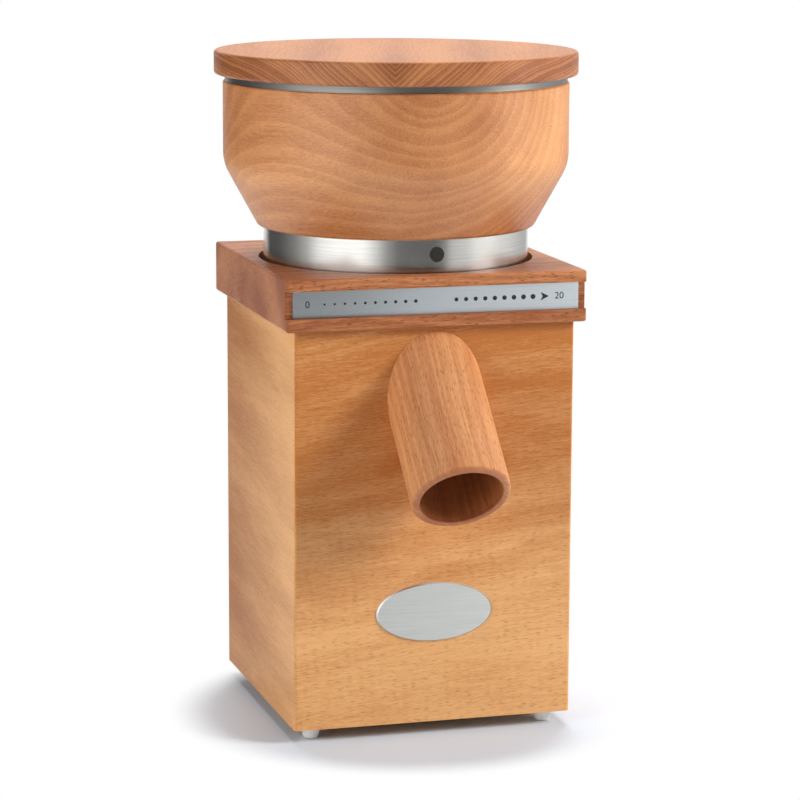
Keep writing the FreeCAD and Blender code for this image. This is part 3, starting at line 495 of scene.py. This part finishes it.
# one material: Object coordinates in mm, placed and turned, through a group into a Principled shader
def finish(slot, kind, given):
    look = {**plainLook, **given}
    made = bpy.data.materials.new(slot)
    made.use_nodes = True
    t = made.node_tree
    shader = t.nodes["Principled BSDF"].inputs
    place = addNode(t, "ShaderNodeTexCoord").outputs["Object"]
    block = inBlock(t, place, look)
    group = addNode(t, "ShaderNodeGroup", node_tree=groups[kind])
    mapped = block
    if "behind" in look:
        mapped = changeBoard(t, place, mapped, look["behind"])
    if "fold" in look:
        mapped = foldBoards(t, mapped, look["fold"])
    t.links.new(mapped, group.inputs["Vector"])
    for name, value in look["values"].items():
        group.inputs[name].default_value = seen(value) if isinstance(value, str) else value
    if "eases" in look:
        easeInputs(t, place, block, group, look["eases"])
    colour = group.outputs["Color"]
    # painted shade inside the spout's tube
    if "bore" in look:
        colour = paintBoreShade(t, place, colour, look["bore"])
    t.links.new(colour, shader["Base Color"])
    t.links.new(group.outputs["Roughness"], shader["Roughness"])
    sockets = {"Strength": look["bump"], "Distance": look["relief"], "Height": group.outputs["Height"]}
    if "bow" in look:
        sockets["Normal"] = bowNormal(t, place, *look["bow"])
    bump = addNode(t, "ShaderNodeBump", sockets)
    t.links.new(bump.outputs[0], shader["Normal"])
    shader["Metallic"].default_value = look["metallic"]
    shader["Coat Weight"].default_value = look["coat"]
    shader["Coat Roughness"].default_value = look["coatRoughness"]
    shader["Specular IOR Level"].default_value = look["specular"]
    if "anisotropy" in look:
        shader["Anisotropic"].default_value = look["anisotropy"]
        shader["Anisotropic Rotation"].default_value = look["sheenTurn"]
        around = addNode(t, "ShaderNodeTangent", direction_type="RADIAL", axis="Z")
        t.links.new(around.outputs[0], shader["Tangent"])
    finishes[slot] = made
    return made


# wood, in mm: the heart line passes through heart and runs along the grain. An ease gives an axis,
# the two places on it, and the values of the group input at them
frontVeneer = {
    "heart": (-200, 230, -40),
    "along": (1, -0.06, 0.08),
    "towards": (0, -1, 0),
    "values": {
        "Pale": "e6ad72", "Deep": "b86f33", "Fleck": "86491e", "Ring Spacing": 10.0, "Ring Strength": 0.22,
        "Ring Edge": 0.2, "Wander": 22.0, "Band Strength": 0.15, "Flame Strength": 0.3,
        "Streak Strength": 1.2, "Fleck Strength": 0.65, "Fleck Share": 0.55, "Seed": 3.0,
    },
    # painted shade: the front is drawn darker towards the top and paler towards the floor
    "eases": {"Tone Shift": ("z", 20, 140, -0.34, 0.34)},
    "bump": 0.12,
    "specular": 0.25,
}
finish("front_veneer", "wood", frontVeneer)

sideVeneer = {
    "heart": (260, 40, 60),
    "along": (0, 1, 0.04),
    "towards": (-1, 0, 0),
    "values": {
        "Pale": "e8ac6e", "Deep": "aa682e", "Fleck": "84501f", "Ring Spacing": 9.0, "Ring Strength": 0.18,
        "Ring Edge": 0.2, "Wander": 22.0, "Band Strength": 0.15, "Flame Strength": 0.35,
        "Streak Strength": 0.6, "Fleck Strength": 0.4, "Fleck Share": 0.4, "Seed": 7.0,
    },
    # painted shade: the side is drawn darker towards the back
    "eases": {"Tone Shift": ("y", -49, 88, -0.25, 0.4)},
    "behind": {"depth": 87.6, "heart": (200, -200, 50), "along": (1, 0, 0.05), "towards": (0, 1, 0)},
    "bump": 0.12,
    "specular": 0.15,
}
finish("side_veneer", "wood", sideVeneer)

capWood = {
    "heart": (-300, 15, 120),
    "along": (1, 0.06, 0.03),
    "towards": (0, -0.4, 1),
    "values": {
        "Pale": "cf8a58", "Deep": "85421f", "Fleck": "572b14", "Ring Spacing": 3.4, "Ring Strength": 0.35,
        "Wander": 12.0, "Flame Strength": 0.3, "Streak Strength": 1.2, "Fleck Strength": 0.7,
        "Fleck Share": 0.7, "Seed": 1.0,
    },
    # the left end face is drawn darker with fainter rings: darker end grain and painted shade both
    "eases": {"Ring Strength": ("x", -72.9, -71.0, 0.12, 0.35), "Tone Shift": ("x", -72.9, -71.0, 0.2, 0.0)},
    "bump": 0.2,
    "specular": 0.35,
}
finish("cap_wood", "wood", capWood)

spoutWood = {
    "heart": (60, -60, 250),
    "along": (0, -0.7314, -0.682),
    "towards": (-0.55, -0.6, 0.6),
    "values": {
        "Pale": "e6a56c", "Deep": "b0683a", "Fleck": "743f22", "Ring Spacing": 4.0, "Ring Strength": 0.3,
        "Wander": 8.0, "Flame Strength": 0.35, "Streak Strength": 1.2, "Fleck Strength": 0.75,
        "Fleck Share": 0.7, "Seed": 5.0,
    },
    "eases": {"Tone Shift": ("grain", 107.2, 108.8, 0.0, 0.5)},
    # the painted shade begins and is full at these distances outside the tube's radius
    "bore": {
        "heart": (0, -49.25, 163.6), "along": (0, -0.7314, -0.682), "towards": (1, 0, 0),
        "radius": 19.5, "edge": (0.7, 0.1), "colour": "d2b49c",
    },
    "bump": 0.2,
    "specular": 0.6,
}
finish("spout_wood", "wood", spoutWood)

bowlWood = {
    "heart": (-6, -63, 315),
    "along": (0.5, -0.86, 0.06),
    "towards": (0.86, 0.5, 0),
    # the broad band follows the rings, and its centre and period put its dark in the bowl's middle: wood
    # figure and painted shade both
    "values": {
        "Pale": "e4a163", "Deep": "a45c2b", "Fleck": "74401d", "Ring Spacing": 5.4, "Ring Strength": 0.22,
        "Ring Edge": 0.7, "Wander": 5.0, "Band Strength": 0.4, "Band Centre": 6.5, "Band Period": 16.0,
        "Flame Strength": 0.25, "Streak Strength": 0.9, "Fleck Strength": 0.4, "Fleck Share": 0.5,
        "Seed": 2.0,
    },
    # painted shade: the lower, downward-facing cone is drawn darker
    "eases": {"Tone Shift": ("z", 240, 275, 0.36, 0.02)},
    "bump": 0.08,
    "specular": 0.8,
}
finish("bowl_wood", "wood", bowlWood)

lidWood = {
    "heart": (0, 19.25, 186),
    "along": (0.282, 0.959, 0),
    "towards": (0, 0, 1),
    "fold": 130.0,
    "values": {
        "Pale": "c5824f", "Deep": "844520", "Fleck": "643517", "Ring Spacing": 2.1, "Ring Strength": 0.6,
        "Wander": 8.0, "Band Strength": 0.3, "Flame Strength": 0.25, "Streak Strength": 0.6,
        "Fleck Strength": 0.4, "Fleck Share": 0.5, "Seed": 4.0,
    },
    # painted sheen: the top face is drawn paler, with fainter rings
    "eases": {"Ring Strength": ("z", 321.0, 321.7, 0.6, 0.14), "Tone Shift": ("z", 321.0, 321.7, 0.0, -0.25)},
    "bump": 0.04,
    "specular": 0.5,
}
finish("lid_wood", "wood", lidWood)

plugWood = dict(lidWood, values=dict(lidWood["values"], Seed=6.0))
finish("plug_wood", "wood", plugWood)

battenWood = {
    "heart": (30, 0, 0),
    "along": (0, 0, 1),
    "towards": (1, 0.5, 0),
    "values": {
        "Pale": "dcae7c", "Deep": "c08a58", "Fleck": "96623a", "Ring Spacing": 3.0, "Ring Strength": 0.4,
        "Seed": 8.0,
    },
    "bump": 0.25,
}
finish("batten_wood", "wood", battenWood)

baseBoard = {
    "heart": (0, 60, -90),
    "along": (1, 0, 0),
    "towards": (0, 0.2, 1),
    "values": {
        "Pale": "dcb384", "Deep": "c69460", "Fleck": "96683c", "Ring Spacing": 6.0, "Ring Strength": 0.35,
        "Seed": 9.0,
    },
    "bump": 0.25,
}
finish("base_board", "wood", baseBoard)
print("beech finishes made")

# steel that shows: bow is the lean of the face at x = 0, and how much it changes per metre
scaleSteel = {
    "values": {
        "Metal": "cfd6da", "Shade": "a6adb0", "Line Width": 0.14, "Line Length": 28.0, "Roughness": 0.3,
    },
    "metallic": 1.0,
    "anisotropy": 0.6,
    "bow": (-0.16, -1.2),
    "bump": 0.08,
    "relief": 0.00003,
}
finish("scale_steel", "brushed", scaleSteel)

badgeSteel = {
    "values": {
        "Metal": "dadcda", "Shade": "b2b4b2", "Line Width": 0.13, "Line Length": 30.0, "Roughness": 0.36,
    },
    "metallic": 1.0,
    "anisotropy": 0.6,
    "bow": (-0.15, -1.2),
    "bump": 0.1,
    "relief": 0.00003,
}
finish("badge_steel", "brushed", badgeSteel)

sleeveSteel = {
    "values": {
        "Metal": "d6d5d1", "Shade": "b9b8b4", "Line Width": 0.2, "Line Length": 60.0, "Roughness": 0.22,
    },
    "metallic": 1.0,
    "anisotropy": 0.6,
    "bump": 0.06,
    "relief": 0.00003,
}
finish("sleeve_steel", "brushed", sleeveSteel)

# the rim band is the sleeve steel drawn darker: painted shade under the lid's overhang
shadedBandSteel = dict(
    sleeveSteel, values=dict(sleeveSteel["values"], Metal="9a9a96", Shade="6c6c69", Roughness=0.42)
)
finish("band_steel", "brushed", shadedBandSteel)

shaftSteel = {
    "values": {
        "Metal": "c2c2c0", "Shade": "8c8c8a", "Line Width": 0.3, "Line Length": 12.0, "Roughness": 0.28,
    },
    "metallic": 1.0,
}
finish("shaft_steel", "brushed", shaftSteel)

# the mill's inside
coreSteel = {
    "along": (0, 0, 1),
    "towards": (1, 0, 0),
    "values": {"Crest": "8f9092", "Gap": "3c3d40", "Pitch": 0.65, "Unevenness": 0.1},
    "metallic": 0.9,
    "bump": 0.3,
}
finish("core_steel", "turns", coreSteel)

copperWinding = {
    "along": (0.3, 0.3, 1),
    "towards": (1, 0, 0),
    "values": {"Crest": "bd6a38", "Gap": "4b1f10", "Pitch": 0.9, "Unevenness": 1.6},
    "metallic": 0.75,
    "coat": 0.4,
    "bump": 0.6,
}
finish("copper_winding", "turns", copperWinding)

commutatorCopper = {
    "values": {
        "Metal": "c98b62", "Shade": "8a5636", "Line Width": 0.25, "Line Length": 18.0, "Roughness": 0.3,
    },
    "metallic": 1.0,
}
finish("commutator_copper", "brushed", commutatorCopper)

# base colour, blotch colour, grain size, share of blotches, pits, roughness, metal, bump
skins = {
    "zinc_screw": ("c3c6c4", "9aa09c", 0.5, 0.7, 0.05, 0.34, 1.0, 0.1),
    "thread_metal": ("b8b9b6", "8f908c", 0.6, 0.5, 0.05, 0.35, 1.0, 0.1),
    "cast_shield": ("a9abac", "86888a", 0.9, 0.6, 0.25, 0.5, 0.9, 0.35),
    "bearing_bronze": ("b5894a", "7e5a2c", 0.6, 0.5, 0.2, 0.4, 1.0, 0.2),
    "brass_holder": ("c9a557", "9a7a38", 0.7, 0.4, 0.03, 0.32, 1.0, 0.1),
    "driver_metal": ("9fa3a6", "7b7f82", 0.8, 0.5, 0.12, 0.42, 0.95, 0.25),
    "spring_steel": ("8f9499", "6a6f74", 0.5, 0.4, 0.02, 0.3, 1.0, 0.1),
    "carbon": ("2b2b2d", "161617", 0.5, 0.6, 0.2, 0.6, 0.0, 0.3),
    "foot_plastic": ("f0efec", "dcdad5", 0.7, 0.35, 0.0, 0.45, 0.0, 0.08),
    "chamber_plastic": ("e3e0d8", "cbc7bd", 0.6, 0.4, 0.02, 0.4, 0.0, 0.1),
    "base_plastic": ("2f3032", "222325", 0.5, 0.4, 0.0, 0.42, 0.0, 0.15),
    "capacitor_case": ("3b5c8c", "2d4870", 0.6, 0.3, 0.0, 0.35, 0.0, 0.08),
    "block_plastic": ("e8e4da", "cdc8bb", 0.6, 0.4, 0.0, 0.5, 0.0, 0.1),
    "switch_black": ("222324", "151617", 0.45, 0.5, 0.0, 0.42, 0.0, 0.25),
    "rocker_plastic": ("1b1c1d", "111212", 0.45, 0.4, 0.0, 0.3, 0.0, 0.12),
    "gland_plastic": ("242526", "18191a", 0.5, 0.5, 0.0, 0.5, 0.0, 0.25),
    "wire_cover": ("7b3d24", "5e2c19", 0.5, 0.4, 0.0, 0.38, 0.0, 0.08),
    "fan_plastic": ("3c4a44", "2c3833", 0.6, 0.5, 0.0, 0.45, 0.0, 0.15),
    "dot_black": ("26231f", "171512", 0.4, 0.5, 0.05, 0.45, 0.0, 0.2),
}
for slot, (base, blotch, grain, amount, pits, rough, metal, bump) in skins.items():
    look = {
        "values": {
            "Base": base, "Blotch": blotch, "Grain Size": grain, "Amount": amount, "Pit Share": pits,
            "Roughness": rough,
        },
        "metallic": metal,
        "bump": bump,
    }
    finish(slot, "skin", look)

grindstone = {
    "values": {"Bond": "b7b0a4", "Light Grain": "e2ddd2", "Dark Grain": "6f675d", "Grain Size": 1.3},
    "bump": 0.8,
    "relief": 0.0003,
    "specular": 0.3,
}
finish("grindstone", "stone", grindstone)

bare = set()
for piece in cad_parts.values():
    for holder in piece.material_slots:
        key = holder.material.name.split(".")[0]
        if key in finishes:
            holder.material = finishes[key]
        else:
            bare.add(key)
print("slots without a finish:", sorted(bare))


# printed marks on the scale, in mm: a row of dots has its first x, its step, their number, and the
# first and last radius. The arrow has its tail, its tip, half its height and the depth of its notch
scaleMarks = {
    "z": 210.05,
    "face": -51.35,
    "proud": 0.05,
    "fine": (-54.4, 4.88, 10, 0.5, 0.85),
    "coarse": (9.3, 4.71, 9, 0.95, 1.2),
    "arrow": (50.7, 54.8, 2.0, 1.1),
    "sides": 32,
}
inkBlack = finish("scale_ink", "skin", {
    "values": {"Base": "1d1b1a", "Blotch": "2c2927", "Grain Size": 0.3, "Amount": 0.6, "Roughness": 0.5},
    "bump": 0.05,
})


def newPiece(name, points, faces, material, body):
    mesh = bpy.data.meshes.new(name)
    mesh.from_pydata(points.tolist(), [], [list(map(int, f)) for f in faces])
    mesh.materials.append(material)
    mesh.update()
    piece = addObject(name, mesh)
    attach(piece, body)
    return piece


# flat prints facing -Y: each outline is a closed loop (x, z) in mm, given a front, a back and a wall
def printOutlines(name, loops, marks):
    points, faces, start = [], [], 0
    for loop in loops:
        n = len(loop)
        front = np.column_stack([loop[:, 0], np.full(n, marks["face"] - marks["proud"]), loop[:, 1]])
        back = front + [0, marks["proud"], 0]
        points.append(np.vstack([front, back]))
        i = np.arange(n)
        j = (i + 1) % n
        faces.append((start + i).tolist())
        faces.append((start + n + i[::-1]).tolist())
        faces.extend(np.column_stack([start + j, start + i, start + n + i, start + n + j]).tolist())
        start += 2 * n
    return newPiece(name, np.vstack(points) / 1000, faces, inkBlack, "housing")


# dot k lies at first + k*step, and its radius grows evenly from the smallest to the largest
def dotLoops(row, marks):
    first, step, count, small, large = row
    k = np.arange(count)
    x = first + k * step
    r = small + (large - small) * k / (count - 1)
    a = np.linspace(0, 2 * math.pi, marks["sides"], endpoint=False)
    grid = np.stack([x[:, None] + r[:, None] * np.cos(a), marks["z"] + r[:, None] * np.sin(a)], axis=2)
    return list(grid)


def arrowLoop(marks):
    tail, tip, half, notch = marks["arrow"]
    x = np.array([tail, tail + notch, tail, tip])
    z = marks["z"] + np.array([half, 0.0, -half, 0.0])
    return np.column_stack([x, z])[::-1]


printOutlines("fine_dots", dotLoops(scaleMarks["fine"], scaleMarks), scaleMarks)
printOutlines("coarse_dots", dotLoops(scaleMarks["coarse"], scaleMarks), scaleMarks)
printOutlines("coarse_arrow", [arrowLoop(scaleMarks)], scaleMarks)

scaleNumbers = {
    "size": 4.6,
    "marks": {"number_fine": ("0", -62.5), "number_coarse": ("20", 60.0)},
}


# a plain figure cut from the font, turned to face -Y and set on the plate
def printNumber(name, text, x):
    curve = bpy.data.curves.new(name, "FONT")
    curve.body = text
    curve.size = scaleNumbers["size"] / 1000
    curve.align_x = "CENTER"
    curve.align_y = "CENTER"
    curve.extrude = scaleMarks["proud"] / 2000
    holder = addObject(name + "_curve", curve)
    mesh = bpy.data.meshes.new_from_object(holder)
    bpy.data.objects.remove(holder)
    face = scaleMarks["face"] - scaleMarks["proud"] / 2
    move = Matrix.Translation((x / 1000, face / 1000, scaleMarks["z"] / 1000))
    mesh.transform(move @ Matrix.Rotation(math.pi / 2, 4, "X"))
    mesh.materials.clear()
    mesh.materials.append(inkBlack)
    piece = addObject(name, mesh)
    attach(piece, "housing")


for name, (text, x) in scaleNumbers["marks"].items():
    printNumber(name, text, x)
print("scale marks printed")

# ring springs as wound coils, in mm
ringSprings = {
    "count": 4, "circle": 59.0, "firstAngle": 45, "coil": 2.5, "wire": 0.4, "turns": 6, "steps": 40,
    "sides": 12,
}


# a wire of radius w along a helix of radius r: each ring of points is the centre plus
# w * (outward * cos a + binormal * sin a), where the binormal stands square to the wire's own run
def springPoints(look, low, high):
    steps = look["turns"] * look["steps"]
    turn = np.linspace(0, 2 * math.pi * look["turns"], steps + 1)[:, None]
    rise = (high - low) / (2 * math.pi * look["turns"])
    outward = np.hstack([np.cos(turn), np.sin(turn), 0 * turn])
    centre = look["coil"] * outward + np.hstack([0 * turn, 0 * turn, low + rise * turn])
    run = np.hstack([-look["coil"] * np.sin(turn), look["coil"] * np.cos(turn), rise + 0 * turn])
    binormal = np.cross(run / np.linalg.norm(run, axis=1, keepdims=True), outward)
    a = np.linspace(0, 2 * math.pi, look["sides"], endpoint=False)
    ring = np.cos(a)[None, :, None] * outward[:, None, :] + np.sin(a)[None, :, None] * binormal[:, None, :]
    return (centre[:, None, :] + look["wire"] * ring).reshape(-1, 3)


def makeSprings(look):
    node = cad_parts["ring_springs"]
    heights = [(node.matrix_world @ v.co).z * 1000 for v in node.data.vertices]
    low, high = min(heights) + look["wire"], max(heights) - look["wire"]
    coil = springPoints(look, low, high)
    n, rings = look["sides"], len(coil) // look["sides"]
    i = np.arange(n)
    j = (i + 1) % n
    strip = np.column_stack([i, j, n + j, n + i])
    walls = (np.arange(rings - 1)[:, None, None] * n + strip[None]).reshape(-1, 4).tolist()
    ends = [i[::-1].tolist(), ((rings - 1) * n + i).tolist()]
    points, faces = [], []
    for k in range(look["count"]):
        a = math.radians(look["firstAngle"] + 360 / look["count"] * k)
        middle = [look["circle"] * math.cos(a), millAxis.y * 1000 + look["circle"] * math.sin(a), 0]
        faces += [[v + k * len(coil) for v in f] for f in walls + ends]
        points.append(coil + middle)
    mesh = bpy.data.meshes.new("springs_that_shorten")
    mesh.from_pydata((np.vstack(points) / 1000).tolist(), [], faces)
    mesh.polygons.foreach_set("use_smooth", [len(f) == 4 for f in faces])
    mesh.materials.append(finishes["spring_steel"])
    piece = addObject("springs_that_shorten", mesh)
    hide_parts("ring_springs")
    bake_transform(piece)


makeSprings(ringSprings)
print("springs wound")

# the floor, in metres
floorLook = {
    "reach": 30.0,
    "rings": 24,
    "sides": 64,
    "innerShare": 0.02,
    "drop": 0.00005,
    "pale": "dae2ec",
    "grey": "d4dce6",
    "tint": (9.0, 9.0, 9.0),
    "roughness": 0.6,
    "specular": 0.2,
    "whiteFrom": 0.09,
    "whiteAt": 0.118,
}


# a round floor: rings of points whose radius grows as the square of their place in the row
def layFloor(look):
    n = look["sides"]
    radii = look["reach"] * np.linspace(look["innerShare"], 1, look["rings"]) ** 2
    a = np.linspace(0, 2 * math.pi, n, endpoint=False)
    ringPoints = np.stack([np.outer(radii, np.cos(a)), np.outer(radii, np.sin(a))], axis=2).reshape(-1, 2)
    points = np.vstack([[0.0, 0.0], ringPoints])
    points = np.column_stack([points, np.full(len(points), -look["drop"])])
    i = np.arange(n)
    j = (i + 1) % n
    faces = np.column_stack([np.zeros(n, int), 1 + i, 1 + j]).tolist()
    for inner in range(1, 1 + (look["rings"] - 1) * n, n):
        outer = inner + n
        faces += np.column_stack([inner + i, outer + i, outer + j, inner + j]).tolist()
    mesh = bpy.data.meshes.new("floor")
    mesh.from_pydata(points.tolist(), [], faces)
    floor = addObject("floor", mesh)
    material = bpy.data.materials.new("whiteFloor")
    material.use_nodes = True
    t = material.node_tree
    shader = t.nodes["Principled BSDF"]
    place = addNode(t, "ShaderNodeTexCoord").outputs["Object"]
    tint = noise(t, place, look["tint"], 3.0)
    t.links.new(blendColour(t, tint, seen(look["pale"]), seen(look["grey"])), shader.inputs["Base Color"])
    shader.inputs["Roughness"].default_value = look["roughness"]
    shader.inputs["Specular IOR Level"].default_value = look["specular"]
    far = eased(t, lengthOf(t, place), look["whiteFrom"], look["whiteAt"])
    white = calc(t, "MULTIPLY", seenDirectly(t), far)
    glow = addNode(t, "ShaderNodeEmission", {"Strength": 1.0})
    mixed = addNode(t, "ShaderNodeMixShader", {0: white, 1: shader.outputs[0], 2: glow.outputs[0]})
    t.links.new(mixed.outputs[0], t.nodes["Material Output"].inputs["Surface"])
    mesh.materials.append(material)


layFloor(floorLook)

# how bright the room is as light and as seen, and the point that the lamps turn to
room = {"light": 0.16, "seen": 1.0, "aim": (0.0, 0.02, 0.17)}
lamps = {
    # direction as seen from above (0 is the front, positive to the right), height angle, distance,
    # width, height, share of full light on a face turned to it
    "keyRight": (60, 26, 2.2, 0.75, 0.8, 1.0),
    "fillLeft": (-66, 13, 1.0, 0.5, 0.7, 0.52),
    "backTop": (165, 58, 2.0, 1.3, 1.3, 0.95),
}
# what polished steel and satin wood mirror: an upright ring of soft boxes and dark cloth, given as
# direction and brightness
surround = {
    "sides": 96,
    "distance": 0.9,
    "foot": 0.001,
    "height": 1.6,
    "level": 1.8,
    "stops": (
        (-180, 0.6), (-168, 0.5), (-156, 0.04), (-130, 0.05), (-111, 0.14), (-96, 0.34), (-83, 0.8),
        (-66, 1.0), (-44, 1.0), (-34, 0.6), (-24, 0.2), (-14, 0.05), (16, 0.03), (25, 0.1), (32, 0.42),
        (50, 0.5), (63, 0.6), (78, 0.64), (95, 0.56), (116, 0.4), (135, 0.3), (150, 0.6), (180, 0.6),
    ),
    # a brighter box: direction, half width in degrees, low and high edge, level
    "box": (64, 14, 0.24, 0.62, 6.0),
    # the box fades between these shares of its half width and half height
    "boxEdges": (1.15, 0.7),
}


# a point around the mill, by direction from above, height angle and distance
def roundMill(direction, height, distance):
    a, h = math.radians(direction), math.radians(height)
    return Vector((math.sin(a) * math.cos(h), -math.cos(a) * math.cos(h), math.sin(h))) * distance


# the ring is seen in reflections alone; its brightness is read from the direction around the mill.
# Its points lie at equal angles on a circle, once at the foot and once at the full height
def standSurround(look):
    n = look["sides"]
    a = np.linspace(0, 2 * math.pi, n, endpoint=False)
    across, along = np.sin(a) * look["distance"], -np.cos(a) * look["distance"]
    low, high = (np.column_stack([across, along, np.full(n, look[end])]) for end in ("foot", "height"))
    points = np.vstack([low, high])
    i = np.arange(n)
    j = (i + 1) % n
    mesh = bpy.data.meshes.new("surround")
    mesh.from_pydata(points.tolist(), [], np.column_stack([i, j, n + j, n + i]).tolist())
    ring = addObject("surround", mesh)
    material = bpy.data.materials.new("softBoxes")
    material.use_nodes = True
    t = material.node_tree
    t.nodes.remove(t.nodes["Principled BSDF"])
    spot = splitVector(t, addNode(t, "ShaderNodeTexCoord").outputs["Object"])
    direction = calc(t, "ARCTAN2", spot[0], calc(t, "MULTIPLY", spot[1], -1.0))
    share = calc(t, "MULTIPLY_ADD", direction, 0.5 / math.pi, 0.5)
    ramp = addNode(t, "ShaderNodeValToRGB", {"Fac": share})
    ends = ramp.color_ramp.elements
    for place, (angle, level) in enumerate(look["stops"]):
        at = angle / 360 + 0.5
        stop = ends[0] if place == 0 else ends[-1] if at == 1 else ends.new(at)
        stop.position = at
        stop.color = (level, level, level, 1)
    aim, half, low, high, level = look["box"]
    off = calc(t, "ABSOLUTE", calc(t, "SUBTRACT", direction, math.radians(aim)))
    off = calc(t, "DIVIDE", off, math.radians(half))
    above = calc(t, "ABSOLUTE", calc(t, "SUBTRACT", spot[2], (low + high) / 2))
    above = calc(t, "DIVIDE", above, (high - low) / 2)
    inBox = calc(t, "MULTIPLY", eased(t, off, *look["boxEdges"]), eased(t, above, *look["boxEdges"]))
    strength = calc(t, "MULTIPLY_ADD", inBox, level, look["level"])
    glow = addNode(t, "ShaderNodeEmission", {"Color": ramp.outputs["Color"], "Strength": strength})
    t.links.new(glow.outputs[0], t.nodes["Material Output"].inputs["Surface"])
    mesh.materials.append(material)
    ring.visible_camera = False
    ring.visible_diffuse = False
    ring.visible_transmission = False
    ring.visible_shadow = False


def lightRoom():
    world = bpy.data.worlds.new("studio")
    world.use_nodes = True
    bpy.context.scene.world = world
    t = world.node_tree
    level = calc(t, "MULTIPLY_ADD", seenDirectly(t), room["seen"] - room["light"], room["light"])
    back = t.nodes["Background"]
    back.inputs["Color"].default_value = (1, 1, 1, 1)
    t.links.new(level, back.inputs["Strength"])
    aim = Vector(room["aim"])
    for name, (direction, height, distance, width, tall, share) in lamps.items():
        place = aim + roundMill(direction, height, distance)
        data = bpy.data.lights.new(name, "AREA")
        data.shape = "RECTANGLE"
        data.size, data.size_y = width, tall
        data.energy = share * math.pi ** 2 * distance ** 2
        lamp = addObject(name, data)
        turn = (aim - place).to_track_quat("-Z", "Y").to_matrix().to_4x4()
        lamp.matrix_world = Matrix.Translation(place) @ turn
        lamp.visible_glossy = False
    standSurround(surround)


lightRoom()
print("floor and lamps set")
